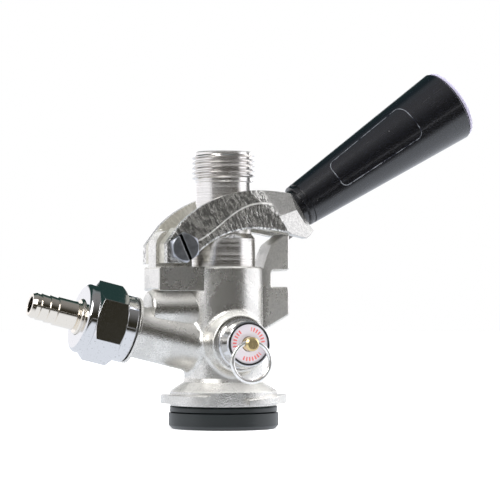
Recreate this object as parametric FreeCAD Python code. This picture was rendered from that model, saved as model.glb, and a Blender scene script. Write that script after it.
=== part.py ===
import FreeCAD, Part
import math
import os

# A lever-operated beer keg coupler with sliding probe, gas inlet arm and pressure relief valve.
# Millimetres. +X points the way the handle leans, +Z up, origin on the probe axis at the seal's underside.

# General fits and gaps
RUN = 0.08              # radial running fit of a shaft in a hole
SEAT = 0.02             # gap where two fixed pieces seat on each other
GAP = 0.30              # gap between neighbours that move past each other

# Body casting
BODY_R = 13.95
BODY_FOOT_R = 14.35
BODY_TOP = 58.4
BODY_TOP_CHAMFER = 0.6
CAST_FILLET = 2.5
FLANGE_Z = 8.1          # underside of the flange, where the seal starts
FLANGE_R = 19.5
FLANGE_TOP = 14.0
FLANGE_CONE_TOP = 16.8
SEAL_RECESS_R = 12.6
SEAL_RECESS_DEPTH = 2.6

# Bayonet lugs on the flange
LUG_R = 22.9
LUG_BOTTOM = 9.2
LUG_TOP = 12.3
LUG_START = -85.5       # plan angle where the first lug's thin lead-in starts
LUG_SPAN = 147.0
LUG_RAMP_SPAN = 42.0
LUG_TIP_HEIGHT = 1.4
LUG_END_LEAN = 34.0
LUG_COUNT = 2

# Probe
THREAD_R = 11.45
THREAD_PITCH = 1.814
THREAD_DEPTH = 1.1
THREAD_CREST = 0.26
THREAD_BOTTOM = 89.5
THREAD_LEAD = 0.5
PROBE_TOP = 100.1
NECK_R = 10.1
STAGE_R = 11.45
STAGE_TOP = 68.6
STAGE_CHAMFER_TOP = 70.4
STAGE_BOTTOM = 46.0
STEM_R = 7.5
PROBE_BOTTOM = 1.6
BEER_BORE_R = 4.6
BALL_R = 4.2
BALL_ROOM_R = 5.3
BALL_ROOM_TOP = 17.0
BYPASS_R = 1.3
BYPASS_COUNT = 3
BYPASS_INSET = 0.2
RETAINER_R = 5.6
RETAINER_HEIGHT = 3.0
RETAINER_HOLE_R = 2.9

# O-rings and seals of the probe
RING_WIRE_R = 1.1

PROBE_RING_Z = (49.4, 54.6)
PROBE_SEAL_R = 8.9
PROBE_SEAL_HEIGHT = 5.4

# Seal under the body
SEAL_R = 19.95
SEAL_TOP_R = 19.5
SEAL_BORE_R = 9.9
SEAL_BAND_TOP = 5.8
SEAL_GROOVE = 0.5
SEAL_CHAMFER = 1.3

# Lever pivot
PIVOT_X = -20.3
PIVOT_Z = 64.9
PIVOT_R = 3.17
HINGE_LUG_HALF = 4.4
HINGE_LUG_LEFT = -27.2
HINGE_LUG_RIGHT = -13.6
HINGE_LUG_TOP = 71.3
HINGE_LUG_CORNER = 5.4
BLOCK_HALF = 9.1
BLOCK_LEFT = -27.5
BLOCK_BOTTOM = 49.7
BLOCK_TOP = 58.3
BLOCK_EDGE = 1.0
BRACKET_R = 7.5
BRACKET_LEFT = -29.0
BRACKET_Z = 42.4
BRACKET_EDGE = 1.6

# Latch fin
FIN_HALF = 5.7
FIN_OUT = 23.5
FIN_TOP = 70.3
FIN_TOP_IN = 21.4
FIN_TOP_OUT = 23.0
FIN_FOOT_Z = 41.0
FIN_LOW_Z = 35.6
NOTCH_LOW = 51.2
NOTCH_HIGH = 57.0
NOTCH_IN = 16.7
NOTCH_CORNER = 0.8
FIN_RIM = 0.6
FIN_THROAT = ((16.5, 66.6), (15.0, 63.2), (13.8, 59.5))     # inner edge of the hooked top

# Lever yoke
YOKE_HALF = 14.4
ARM_INNER = 10.5
FORK_FRONT_AT = 12.4        # ahead of here the slot only has to clear the fin
FORK_FRONT_HALF = 7.2
BOSS_INNER = 4.6
BOSS_LEFT = -26.1
BOSS_BOTTOM = 59.5
BOSS_REACH = 7.4        # radius about the pivot that the thick bosses fill
HANDLE_TILT = 32.9      # rise of the handle's axis above level
SOCKET_X = 27.15        # centre of the socket's end face
SOCKET_Z = 79.5
SOCKET_ABOVE = 6.4
SOCKET_BELOW = 9.3
SOCKET_HALF = 7.4          # half width of the end face
SOCKET_BAND = 2.5          # steeper band round the end face
SOCKET_BAND_HALF = 10.4
SOCKET_TOP_HALF = 9.2
SOCKET_CREASE = 1.1
SOCKET_CREASE_START = 3.5
LEVER_TRAVEL = 28.6
YOKE_STEM_R = 6.0
YOKE_STEM_LENGTH = 32.0
BEVEL_LENGTH = 10.8     # how far back from the end face the socket's sides start to narrow
HEEL_BACK = 5.2
HEEL_DROP = 0.1
HEEL_CHANNEL_HALF = 6.6     # channel between the two heels, which clears the fin
HEEL_CHANNEL_ROOF = 5.0
BOSS_TOE = 1.1
BOSS_SHOULDER = 66.4
YOKE_RIM = 0.8             # rounding along the arms' crest and underside
FACET_TILT = 6.0
ARM_UNDERSIDE = ((-13.9, 63.4), (-7.2, 68.2), (1.5, 71.3), (9.5, 71.8), (20.7, 70.2))
ARM_CREST = ((22.4, 85.3), (13.1, 85.9), (0.2, 84.9), (-11.4, 80.6), (-20.7, 73.6))
ARM_CREASE = ((-14.3, 67.6), (-3.2, 75.7), (5.5, 80.5), (12.6, 81.0), (23.8, 79.9))

# Drive pins in the arms and their slots in the probe
DRIVE_X = -1.9
DRIVE_Z = 77.7
DRIVE_R = 2.5
DRIVE_TIP = 8.2
DRIVE_SLOT_FLOOR = 7.7
DRIVE_SLOT_PLAY = 0.6
DRIVE_SEAT_HALF = 13.5
DRIVE_CHAMFER = 0.4

# Latch bolt, its spring and draw rod, measured outwards along the handle from the socket's end face
BOLT_R = 2.4
BOLT_TIP = -4.3
BOLT_TRAVEL = 6.5
BOLT_NOSE = 0.5
POCKET_START = 14.0
POCKET_R = 4.2
COLLAR_R = 4.0
COLLAR_LENGTH = 1.5
PLUG_LENGTH = 2.0
ROD_R = 1.5
ROD_TAIL = 2.0
ROD_NUT_R = 3.2
ROD_NUT_HEIGHT = 2.5
LATCH_WIRE_R = 0.35
LATCH_COIL_R = 3.2
LATCH_TURNS = 7

# Grip, measured along the handle from the socket's end face
GRIP_START = 0.3
GRIP_END = 74.2
GRIP_LOW_R = 7.9
GRIP_HIGH_R = 14.05
GRIP_LIP = 2.4          # thin foot of the grip, next to the socket
GRIP_LIP_R = 7.0
GRIP_GROOVE_AT = 3.6
GRIP_GROOVE = 0.5
GRIP_WALL_GAP = 3.0         # from the end of the lever's stem to the grip's cross wall
GRIP_WALL = 2.8
GRIP_SHELL = 2.5
GRIP_EDGE = 0.8
ROD_PLAY = 0.2
CAP_STAND = 3.0
CAP_RIM = 0.5
CAP_PLUG = 6.0
CAP_PLUG_R = 11.3
CAP_DOME = 1.7

# Gas inlet arm, measured from the probe axis along the arm
INLET_TILT = 14.0
INLET_Z = 26.85          # height where the arm's axis crosses the probe axis
INLET_R = 9.3
INLET_BORE_R = 4.6
COLLAR_AT = 36.0
INLET_COLLAR = 1.0
INLET_COLLAR_R = 12.0
SPIGOT_THREAD_R = 11.3
VALVE_ROOM_R = 7.4
VALVE_ROOM_DEPTH = 9.0

# Beer nut on the inlet
NUT_START = 37.3
NUT_END = 56.1
NUT_FLATS = 25.2
NUT_HEX_LENGTH = 11.1
NUT_INNER_COLLAR = 4.3
NUT_INNER_COLLAR_R = 12.1
NUT_OUTER_COLLAR_R = 12.45
NUT_OUTER_EDGE = 1.6
NUT_LIP = 2.6
NUT_TURN = 2.0

# Barbed tailpiece, washer and check valve
TAIL_FLANGE = 2.0
TAIL_FLANGE_R = 10.6
WASHER = 1.6
TAIL_R = 5.15
TAIL_SLEEVE_R = 6.5
TAIL_SLEEVE = 0.8
TAIL_TIP = 74.4
TAIL_TIP_R = 4.5
TAIL_BORE_R = 2.9
BARB_PITCH = 3.15
BARB_COUNT = 3
BARB_STEP = 0.4
BARB_TAPER = 0.4
VALVE_FLANGE = 1.8
VALVE_CUP_R = 5.2
VALVE_CUP_LENGTH = 4.2
VALVE_WALL = 1.0
VALVE_SLIT = 0.25
VALVE_SLIT_HALF = 2.2

# Relief valve, measured from the probe axis towards the front
RELIEF_Z = 30.9
RELIEF_BOSS_END = 18.5
RELIEF_BOSS_R = 10.4
RELIEF_BOSS_ROOT_R = 11.6
RELIEF_BOSS_EDGE = 1.0
RELIEF_SEAT_AT = 13.2
RELIEF_SPIGOT_R = 6.6
RELIEF_PORT_R = 2.4
SLEEVE_R = 8.9
SLEEVE_FRONT_R = 8.1
SLEEVE_LIP = 1.5
SLEEVE_FRONT = 27.0
SLEEVE_BORE_R = 4.8
SLEEVE_FLOOR = 1.3
INSERT_R = 7.45
INSERT_DEPTH = 2.2
INSERT_PROUD = 0.3
LABEL_R = 6.95
LABEL = 0.5
RELIEF_STEM_R = 2.5
RELIEF_STEM_END = 31.0
RELIEF_STEM_NOSE = 0.65
POPPET_R = 3.7
POPPET = 1.6
POPPET_PLATE = 0.8
RELIEF_WIRE_R = 0.35
RELIEF_COIL_R = 3.5
RELIEF_TURNS = 5
RELIEF_NECK_R = 1.6
RELIEF_RING_WIRE = 0.6
RELIEF_RING_AT = 16.6
RING_AT = 29.3
RING_R = 7.0
RING_WIRE = 0.8
RING_HOLE_R = 1.15
RING_RISE = 0.45        # height of the cross hole above the stem's axis
RING_BOW = 0.25         # how far the wire's crown lies above the hole's centre
VENT_WIDTH = 0.6
VENT_HEIGHT = 3.0
VENT_AT = 16.4
VENT_DEPTH = 1.6

# Pivot fasteners
HEAD_FLATS = 9.5
HEAD_HEIGHT = 3.0
HEAD_SLOT = 1.2
HEAD_SLOT_DEPTH = 1.2
HEAD_SLOT_LEAN = 66.0
HEAD_TURN = 25.0
PIVOT_THREAD_R = 2.4
PIVOT_NUT_FLATS = 7.6
PIVOT_NUT_HEIGHT = 3.2
PIVOT_POCKET_R = 4.8    # pocket in the far arm that hides the nut
PIVOT_POCKET = 4.0
BOLT_END = 0.4

V = FreeCAD.Vector
ORIGIN = V(0, 0, 0)
UP = V(0, 0, 1)
EAST = V(1, 0, 0)
NORTH = V(0, 1, 0)
EPS = 1.0               # how far a cutting tool runs past what it cuts


# Helpers

def placed(shape, origin, direction):
    """A shape built along +Z, laid along a direction from an origin, with its +X kept level or in plan."""
    copy = shape.copy()
    copy.Placement = FreeCAD.Placement(origin, FreeCAD.Rotation(UP, direction)).multiply(copy.Placement)
    return copy


def rod(radius, start, end):
    return Part.makeCylinder(radius, end - start, V(0, 0, start), UP)


def tube(outer, inner, start, end):
    return rod(outer, start, end).cut(rod(inner, start - EPS, end + EPS))


def turned(points):
    """A solid of revolution about Z from (radius, height) points."""
    wire = Part.makePolygon([V(r, 0, z) for r, z in points + points[:1]])
    return Part.Face(wire).revolve(ORIGIN, UP, 360)


def plate(points, half):
    """A plate in the XZ plane, from an outline of (x, z) points, as thick as half each way along Y."""
    wire = Part.makePolygon([V(x, -half, z) for x, z in points + points[:1]])
    return Part.Face(wire).extrude(V(0, 2 * half, 0))


def hexagon(flats, start, end, turn=0.0):
    radius = flats / math.sqrt(3)
    corners = []
    for n in range(6):
        angle = math.radians(60 * n + turn)
        corners.append(V(radius * math.cos(angle), radius * math.sin(angle), start))
    return Part.Face(Part.makePolygon(corners + corners[:1])).extrude(V(0, 0, end - start))


def hex_with_chamfer(flats, start, end, turn=0.0):
    """A hexagon whose corners are turned off at both ends."""
    corner = flats / math.sqrt(3)
    edge = flats / 2 - 0.1
    drop = (corner - edge) * math.tan(math.radians(30))
    profile = [
        (0, start),
        (edge, start),
        (corner, start + drop),
        (corner, end - drop),
        (edge, end),
        (0, end),
    ]
    return hexagon(flats, start, end, turn).common(turned(profile))


def torus(major, minor, centre, direction):
    return Part.makeTorus(major, minor, centre, direction)


def coil(radius, wire_r, start, end, turns):
    """A round wire wound about Z between two heights."""
    low = start + wire_r
    high = end - wire_r
    path = Part.Wire(Part.makeHelix((high - low) / turns, high - low, radius))
    path.translate(V(0, 0, low))
    section = Part.Wire(Part.makeCircle(wire_r, V(radius, 0, low), NORTH))
    return path.makePipeShell([section], True, True)


def ridges(major, low, high):
    """Profile points of a thread between two heights, its crests one pitch apart."""
    root = major - THREAD_DEPTH
    flank = (THREAD_PITCH - THREAD_CREST) / 2 - THREAD_CREST / 2
    points = []
    start = low
    while start + THREAD_PITCH <= high + THREAD_CREST:
        points.append((root, start))
        points.append((major, start + flank))
        points.append((major, start + flank + THREAD_CREST))
        points.append((root, start + 2 * flank + THREAD_CREST))
        start = start + THREAD_PITCH
    return points


def edges_along(shape, direction, choose):
    """Straight edges that run along a direction and whose middle passes a test."""
    found = []
    for edge in shape.Edges:
        if edge.Curve.TypeId != "Part::GeomLine":
            continue
        run = edge.Vertexes[-1].Point.sub(edge.Vertexes[0].Point)
        run.normalize()
        if abs(run.dot(direction)) > 0.999 and choose(edge.CenterOfMass):
            found.append(edge)
    return found


def sector(inner, outer, bottom, top, start, span):
    """Part of a ring between two plan angles."""
    ring = tube(outer, inner, bottom, top)
    reach = 2 * outer
    points = [ORIGIN]
    steps = 6
    for n in range(steps + 1):
        angle = math.radians(start + span * n / steps)
        points.append(V(reach * math.cos(angle), reach * math.sin(angle), 0))
    wedge = Part.Face(Part.makePolygon(points + points[:1])).extrude(V(0, 0, top - bottom + 2 * EPS))
    wedge.translate(V(0, 0, bottom - EPS))
    return ring.common(wedge)


# Directions and stations that several pieces share

INLET_DIR = V(-math.cos(math.radians(INLET_TILT)), 0, math.sin(math.radians(INLET_TILT)))
INLET_ROOT = V(0, 0, INLET_Z)
HANDLE_DIR = V(math.cos(math.radians(HANDLE_TILT)), 0, math.sin(math.radians(HANDLE_TILT)))
HANDLE_UP = V(-HANDLE_DIR.z, 0, HANDLE_DIR.x)
SOCKET = V(SOCKET_X, 0, SOCKET_Z)
PIVOT = V(PIVOT_X, 0, PIVOT_Z)
FRONT = V(0, -1, 0)
RELIEF_ROOT = V(0, 0, RELIEF_Z)
MAIN_BORE_R = STAGE_R + RUN
TAIL_FLANGE_END = NUT_END - NUT_LIP - SEAT
TAIL_FLANGE_START = TAIL_FLANGE_END - TAIL_FLANGE
WASHER_START = TAIL_FLANGE_START - WASHER
SPIGOT_END = WASHER_START - SEAT
HEX_START = NUT_START + NUT_INNER_COLLAR
HEX_END = HEX_START + NUT_HEX_LENGTH
SLEEVE_FLOOR_AT = RELIEF_SEAT_AT + SLEEVE_FLOOR
POPPET_AT = SLEEVE_FLOOR_AT + SEAT
INSERT_START = SLEEVE_FRONT - INSERT_DEPTH
LABEL_AT = SLEEVE_FRONT + INSERT_PROUD - 2 * LABEL
BOLT_COLLAR_AT = POCKET_START + BOLT_TRAVEL + GAP
GRIP_WALL_START = YOKE_STEM_LENGTH + GRIP_WALL_GAP
ROD_NUT_AT = GRIP_WALL_START + GRIP_WALL + BOLT_TRAVEL + GAP
PIVOT_SPAN = 2 * (YOKE_HALF + GAP)
PIVOT_NUT_AT = PIVOT_SPAN - GAP - PIVOT_POCKET + GAP      # the nut's seat on the bolt's shoulder


def in_handle(shape):
    return placed(shape, SOCKET, HANDLE_DIR)


def in_inlet(shape):
    return placed(shape, INLET_ROOT, INLET_DIR)


def in_relief(shape):
    return placed(shape, RELIEF_ROOT, FRONT)


def socket_point(out, above):
    """A point of the lever's side outline, given along and across the handle's axis."""
    p = SOCKET + HANDLE_DIR * out + HANDLE_UP * above
    return (p.x, p.z)


# Body casting

def bayonet_lug():
    """One lug: a ramped lead-in, a level run and a leaning end."""
    lug = sector(FLANGE_R - EPS, LUG_R, LUG_BOTTOM, LUG_TOP, LUG_START, LUG_SPAN)
    reach = 2 * LUG_R
    run = LUG_R * math.radians(LUG_RAMP_SPAN)
    slope = math.degrees(math.atan((LUG_TOP - LUG_BOTTOM - LUG_TIP_HEIGHT) / run))
    ramp = Part.makeBox(reach, reach, reach, V(0, -reach, 0))
    ramp.rotate(ORIGIN, EAST, slope)
    ramp.translate(V(0, 0, LUG_TOP))
    ramp.rotate(ORIGIN, UP, LUG_START + LUG_RAMP_SPAN)
    lug = lug.cut(ramp)
    end = Part.makeBox(reach, reach, 2 * reach, V(0, 0, -reach))
    end.rotate(ORIGIN, EAST, -LUG_END_LEAN)
    end.translate(V(0, 0, LUG_TOP))
    end.rotate(ORIGIN, UP, LUG_START + LUG_SPAN - 5)
    return lug.cut(end)


def fin():
    """The latch plate, with its notch for the bolt, its hooked top and its worn outer rim."""
    outline = [
        (0, FIN_LOW_Z),
        (BODY_R, FIN_LOW_Z),
        (FIN_OUT, FIN_FOOT_Z),
        (FIN_OUT, NOTCH_LOW),
        (NOTCH_IN, NOTCH_LOW),
        (NOTCH_IN, NOTCH_HIGH),
        (FIN_OUT, NOTCH_HIGH),
        (FIN_OUT, FIN_TOP - 0.5),
        (FIN_TOP_OUT, FIN_TOP),
        (FIN_TOP_IN, FIN_TOP),
        *FIN_THROAT,
        (BODY_R - 0.6, BODY_TOP - BODY_TOP_CHAMFER),
        (0, BODY_TOP - BODY_TOP_CHAMFER),
    ]
    shape = plate(outline, FIN_HALF)
    inner = edges_along(shape, NORTH, lambda m: abs(m.x - NOTCH_IN) < 0.01)
    shape = shape.makeFillet(NOTCH_CORNER, inner)
    tooth = edges_along(shape, NORTH, lambda m: abs(m.x - FIN_OUT) < 0.01 and m.z < NOTCH_HIGH + 1)
    shape = shape.makeFillet(1.2, tooth)
    for edge_z in (FIN_HALF, -FIN_HALF):
        rim = [e for e in shape.Edges if abs(e.BoundBox.YMin - edge_z) < 0.01
               and abs(e.BoundBox.YMax - edge_z) < 0.01
               and e.BoundBox.XMin > BODY_R + 0.1 and e.BoundBox.XMax > NOTCH_IN]
        shape = shape.makeChamfer(FIN_RIM, rim)
    return shape


def hinge_block():
    """The bar across the back that carries the hinge lug, with the bracket and web under it."""
    bar = plate([
        (BLOCK_LEFT, BLOCK_BOTTOM),
        (0, BLOCK_BOTTOM),
        (0, BLOCK_TOP),
        (BLOCK_LEFT, BLOCK_TOP),
    ], BLOCK_HALF)
    bar = bar.makeFillet(BLOCK_EDGE, [e for e in bar.Edges if e.BoundBox.XMax < -1])
    lug = plate([
        (HINGE_LUG_LEFT, BLOCK_TOP - 2 * BLOCK_EDGE),
        (HINGE_LUG_RIGHT, BLOCK_TOP - 2 * BLOCK_EDGE),
        (HINGE_LUG_RIGHT, HINGE_LUG_TOP),
        (HINGE_LUG_LEFT, HINGE_LUG_TOP),
    ], HINGE_LUG_HALF)
    top = edges_along(lug, NORTH, lambda m: m.z > HINGE_LUG_TOP - 0.01)
    lug = lug.makeFillet(HINGE_LUG_CORNER, top)
    bracket = Part.makeCylinder(BRACKET_R, -BRACKET_LEFT, V(BRACKET_LEFT, 0, BRACKET_Z), EAST)
    bracket = bracket.makeFillet(BRACKET_EDGE, [e for e in bracket.Edges if abs(e.BoundBox.XMax - BRACKET_LEFT) < 0.01])
    return bar.fuse([lug, bracket])


def inlet_arm():
    """The cast arm with its collar and the threaded spigot for the nut."""
    arm = rod(INLET_R, 0, COLLAR_AT + EPS)
    collar = rod(INLET_COLLAR_R, COLLAR_AT, COLLAR_AT + INLET_COLLAR)
    spigot = spigot_thread()
    return in_inlet(arm.fuse([collar, spigot]))


def spigot_thread():
    """The spigot inside the nut, ridged for its thread."""
    start = COLLAR_AT + INLET_COLLAR
    root = SPIGOT_THREAD_R - THREAD_DEPTH
    points = [(0, start - EPS), (root, start - EPS)]
    points = points + ridges(SPIGOT_THREAD_R, start + THREAD_PITCH, SPIGOT_END - THREAD_CREST)
    points = points + [(root, SPIGOT_END), (0, SPIGOT_END)]
    return turned(points)


def relief_boss():
    boss = Part.makeCone(RELIEF_BOSS_ROOT_R, RELIEF_BOSS_R, RELIEF_BOSS_END - 4, V(0, 0, 4), UP)
    rim = [e for e in boss.Edges if abs(e.BoundBox.ZMin - RELIEF_BOSS_END) < 0.01]
    boss = boss.makeFillet(RELIEF_BOSS_EDGE, rim)
    return in_relief(boss)


def joined(shell, branch, side):
    """Fuses a branch to the shell and rounds the corner between them, as a casting has it."""
    both = shell.fuse(branch).removeSplitter()
    seam = [e for e in both.Edges if e.Curve.TypeId == "Part::GeomBSplineCurve" and e.CenterOfMass.dot(side) > 0]
    return both.makeFillet(CAST_FILLET, seam)


def coupler_body():
    shell = turned([
        (0, FLANGE_Z),
        (FLANGE_R - 0.4, FLANGE_Z),
        (FLANGE_R, FLANGE_Z + 0.4),
        (FLANGE_R, FLANGE_TOP - 0.5),
        (FLANGE_R - 0.5, FLANGE_TOP),
        (BODY_FOOT_R + 0.4, FLANGE_CONE_TOP),
        (BODY_FOOT_R, FLANGE_CONE_TOP + 1.5),
        (BODY_R, BODY_TOP - BODY_TOP_CHAMFER),
        (BODY_R - BODY_TOP_CHAMFER, BODY_TOP),
        (0, BODY_TOP),
    ])
    shell = joined(shell, inlet_arm(), INLET_DIR)
    shell = joined(shell, relief_boss(), FRONT)
    pieces = [fin(), hinge_block()]
    for n in range(LUG_COUNT):
        lug = bayonet_lug()
        lug.rotate(ORIGIN, UP, 360.0 / LUG_COUNT * n)
        pieces.append(lug)
    casting = shell.fuse(pieces)
    cuts = [
        rod(MAIN_BORE_R, FLANGE_Z - EPS, BODY_TOP + EPS),
        rod(SEAL_RECESS_R + SEAT, FLANGE_Z - EPS, FLANGE_Z + SEAL_RECESS_DEPTH),
        in_inlet(rod(INLET_BORE_R, 0, SPIGOT_END + EPS)),
        in_inlet(rod(VALVE_ROOM_R, SPIGOT_END - VALVE_ROOM_DEPTH, SPIGOT_END + EPS)),
        in_relief(rod(RELIEF_PORT_R, 0, RELIEF_SEAT_AT + EPS)),
        in_relief(rod(RELIEF_SPIGOT_R + SEAT, RELIEF_SEAT_AT, RELIEF_BOSS_END + EPS)),
        Part.makeCylinder(PIVOT_R + SEAT, 2 * YOKE_HALF, V(PIVOT_X, -YOKE_HALF, PIVOT_Z), NORTH),
        Part.makeBox(2 * VENT_DEPTH, VENT_WIDTH, VENT_HEIGHT, V(
            -RELIEF_BOSS_R - VENT_DEPTH, -VENT_AT - VENT_WIDTH / 2, RELIEF_Z - VENT_HEIGHT / 2)),
    ]
    return casting.cut(cuts).removeSplitter()


# Seals

def body_seal():
    """The rubber foot: a plug in the casting's recess, a top ring, a fine groove and the broad band."""
    return turned([
        (SEAL_BORE_R, 0.6),
        (SEAL_BORE_R + 0.6, 0),
        (SEAL_R - SEAL_CHAMFER, 0),
        (SEAL_R, SEAL_CHAMFER),
        (SEAL_R, SEAL_BAND_TOP),
        (SEAL_TOP_R - SEAL_GROOVE, SEAL_BAND_TOP),
        (SEAL_TOP_R, SEAL_BAND_TOP + SEAL_GROOVE),
        (SEAL_TOP_R, FLANGE_Z - SEAT),
        (SEAL_RECESS_R, FLANGE_Z - SEAT),
        (SEAL_RECESS_R, FLANGE_Z + SEAL_RECESS_DEPTH - SEAT),
        (SEAL_BORE_R, FLANGE_Z + SEAL_RECESS_DEPTH - SEAT),
    ])


# Probe

def probe():
    """The chromed tube: threaded outlet, neck, sliding stage with its ring grooves, and stem with the ball room."""
    root = THREAD_R - THREAD_DEPTH
    points = [
        (0, PROBE_BOTTOM),
        (STEM_R, PROBE_BOTTOM),
        (STEM_R, STAGE_BOTTOM - 3),
        (STAGE_R - 0.6, STAGE_BOTTOM),
        (STAGE_R, STAGE_BOTTOM + 0.8),
        (STAGE_R, STAGE_TOP),
        (NECK_R, STAGE_CHAMFER_TOP),
        (NECK_R, THREAD_BOTTOM - 0.2),
    ]
    points = points + ridges(THREAD_R, THREAD_BOTTOM, PROBE_TOP - THREAD_LEAD)
    points = points + [(root, PROBE_TOP - 0.3), (root - 0.3, PROBE_TOP), (0, PROBE_TOP)]
    shaft = turned(points)
    slot_half = DRIVE_R + DRIVE_SLOT_PLAY
    groove_r = MAIN_BORE_R - 2 * RING_WIRE_R - 2 * SEAT
    cuts = [
        rod(BEER_BORE_R, PROBE_BOTTOM - EPS, PROBE_TOP + EPS),
        rod(BALL_ROOM_R, PROBE_BOTTOM, BALL_ROOM_TOP),
        rod(RETAINER_R + SEAT, PROBE_BOTTOM - EPS, PROBE_BOTTOM + RETAINER_HEIGHT + SEAT),
        tube(STEM_R + EPS, STEM_R - 1.2, PROBE_BOTTOM + 1.0, PROBE_BOTTOM + PROBE_SEAL_HEIGHT - 1.0),
        Part.makeCone(BEER_BORE_R, BEER_BORE_R + 1.0, 1.0, V(0, 0, PROBE_TOP - 0.99), UP),
    ]
    for z in PROBE_RING_Z:
        cuts.append(tube(STAGE_R + EPS, groove_r, z - RING_WIRE_R - SEAT, z + RING_WIRE_R + SEAT))
    for side in (-1, 1):
        floor = side * DRIVE_SLOT_FLOOR
        far = side * (NECK_R + EPS)
        cuts.append(Part.makeBox(
            4 * NECK_R, abs(far - floor), 2 * slot_half,
            V(-2 * NECK_R, min(floor, far), DRIVE_Z - slot_half)))
    for n in range(BYPASS_COUNT):
        angle = math.radians(360.0 / BYPASS_COUNT * n)
        out = BALL_ROOM_R - BYPASS_R - BYPASS_INSET
        cuts.append(Part.makeCylinder(
            BYPASS_R, 6.0, V(out * math.cos(angle), out * math.sin(angle), BALL_ROOM_TOP - 2), UP))
    return shaft.cut(cuts).removeSplitter()


def probe_o_rings():
    rings = []
    for z in PROBE_RING_Z:
        major = MAIN_BORE_R - RING_WIRE_R - SEAT
        rings.append(torus(major, RING_WIRE_R, V(0, 0, z), UP))
    return Part.makeCompound(rings)


def probe_seal():
    """The rubber boot on the probe's foot, gripping a groove round the stem."""
    low = PROBE_BOTTOM - 1.0
    high = PROBE_BOTTOM + PROBE_SEAL_HEIGHT
    return turned([
        (RETAINER_R + 0.4, low),
        (PROBE_SEAL_R - 0.8, low),
        (PROBE_SEAL_R, low + 0.9),
        (PROBE_SEAL_R, high - 1.2),
        (STEM_R + 0.6, high),
        (STEM_R + SEAT, high),
        (STEM_R + SEAT, high - 1.0 - SEAT),
        (STEM_R - 1.2 + SEAT, high - 1.0 - SEAT),
        (STEM_R - 1.2 + SEAT, PROBE_BOTTOM + 1.0 + SEAT),
        (STEM_R + SEAT, PROBE_BOTTOM + 1.0 + SEAT),
        (STEM_R + SEAT, PROBE_BOTTOM - SEAT),
        (RETAINER_R + 0.4, PROBE_BOTTOM - SEAT),
    ])


def ball_seat_height():
    """Height of the ball's centre when it lies on the retainer's chamfer."""
    lip = RETAINER_HOLE_R + 0.6
    return PROBE_BOTTOM + RETAINER_HEIGHT + math.sqrt(BALL_R ** 2 - lip ** 2) + 0.1


def check_ball():
    return Part.makeSphere(BALL_R, V(0, 0, ball_seat_height()))


def ball_retainer():
    low = PROBE_BOTTOM
    high = PROBE_BOTTOM + RETAINER_HEIGHT
    return turned([
        (RETAINER_HOLE_R, low),
        (RETAINER_R, low),
        (RETAINER_R, high),
        (RETAINER_HOLE_R + 0.6, high),
        (RETAINER_HOLE_R, high - 0.8),
    ])


# Lever

def point(pair):
    return V(pair[0], 0, pair[1])


def yoke_outline():
    """Side outline of the lever, from the boss along the underside and back over the crest."""
    corner_left = V(BOSS_LEFT, 0, BOSS_BOTTOM)
    corner_right = V(PIVOT_X + BOSS_TOE, 0, BOSS_BOTTOM)
    shoulder = V(BOSS_LEFT, 0, BOSS_SHOULDER)
    heel = point(socket_point(-HEEL_BACK, -SOCKET_BELOW - HEEL_DROP))
    end_low = point(socket_point(0, -SOCKET_BELOW))
    end_high = point(socket_point(0, SOCKET_ABOVE))
    under = [point(p) for p in ARM_UNDERSIDE]
    over = [point(p) for p in ARM_CREST]
    belly = Part.BSplineCurve()
    belly.interpolate(under)
    crest = Part.BSplineCurve()
    crest.interpolate(over)
    return Part.Wire([
        Part.makeLine(shoulder, corner_left),
        Part.makeLine(corner_left, corner_right),
        Part.makeLine(corner_right, under[0]),
        belly.toShape(),
        Part.makeLine(under[-1], heel),
        Part.makeLine(heel, end_low),
        Part.makeLine(end_low, end_high),
        Part.makeLine(end_high, over[0]),
        crest.toShape(),
        Part.makeLine(over[-1], shoulder),
    ])


def facet_cutter(start, end, side):
    """A block that starts at a crease in the arm's outer face and leans into the arm above it."""
    reach = 4 * SOCKET_X
    run = point(end) - point(start)
    lean = Part.makeBox(2 * reach, reach, reach, V(-reach, -reach, 0))
    lean.rotate(ORIGIN, EAST, -FACET_TILT)
    lean.rotate(ORIGIN, NORTH, -math.degrees(math.atan2(run.z, run.x)))
    lean.translate(V(start[0], -YOKE_HALF, start[1]))
    if side > 0:
        lean = lean.mirror(ORIGIN, NORTH)
    return lean


def bevel_cutter(side):
    """A wedge that narrows the lever's sides towards the socket's end face, with a steeper band at the edge."""
    reach = 2 * SOCKET_BELOW
    outline = [
        V(-reach, side * YOKE_HALF, -BEVEL_LENGTH),
        V(-reach, side * SOCKET_BAND_HALF, -SOCKET_BAND),
        V(-reach, side * SOCKET_HALF, 0),
        V(-reach, side * SOCKET_HALF, EPS),
        V(-reach, side * (YOKE_HALF + EPS), EPS),
        V(-reach, side * (YOKE_HALF + EPS), -BEVEL_LENGTH),
    ]
    wedge = Part.Face(Part.makePolygon(outline + outline[:1])).extrude(V(2 * reach, 0, 0))
    return in_handle(wedge)


def half_space(a, b, c, outside):
    """A large block bounded by the plane through three points, on the side of a fourth."""
    normal = (b - a).cross(c - a)
    normal.normalize()
    if normal.dot(outside - a) < 0:
        normal = normal * -1
    reach = 2 * SOCKET_X
    block = Part.makeBox(2 * reach, 2 * reach, reach, V(-reach, -reach, 0))
    return placed(block, a, normal)


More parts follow.
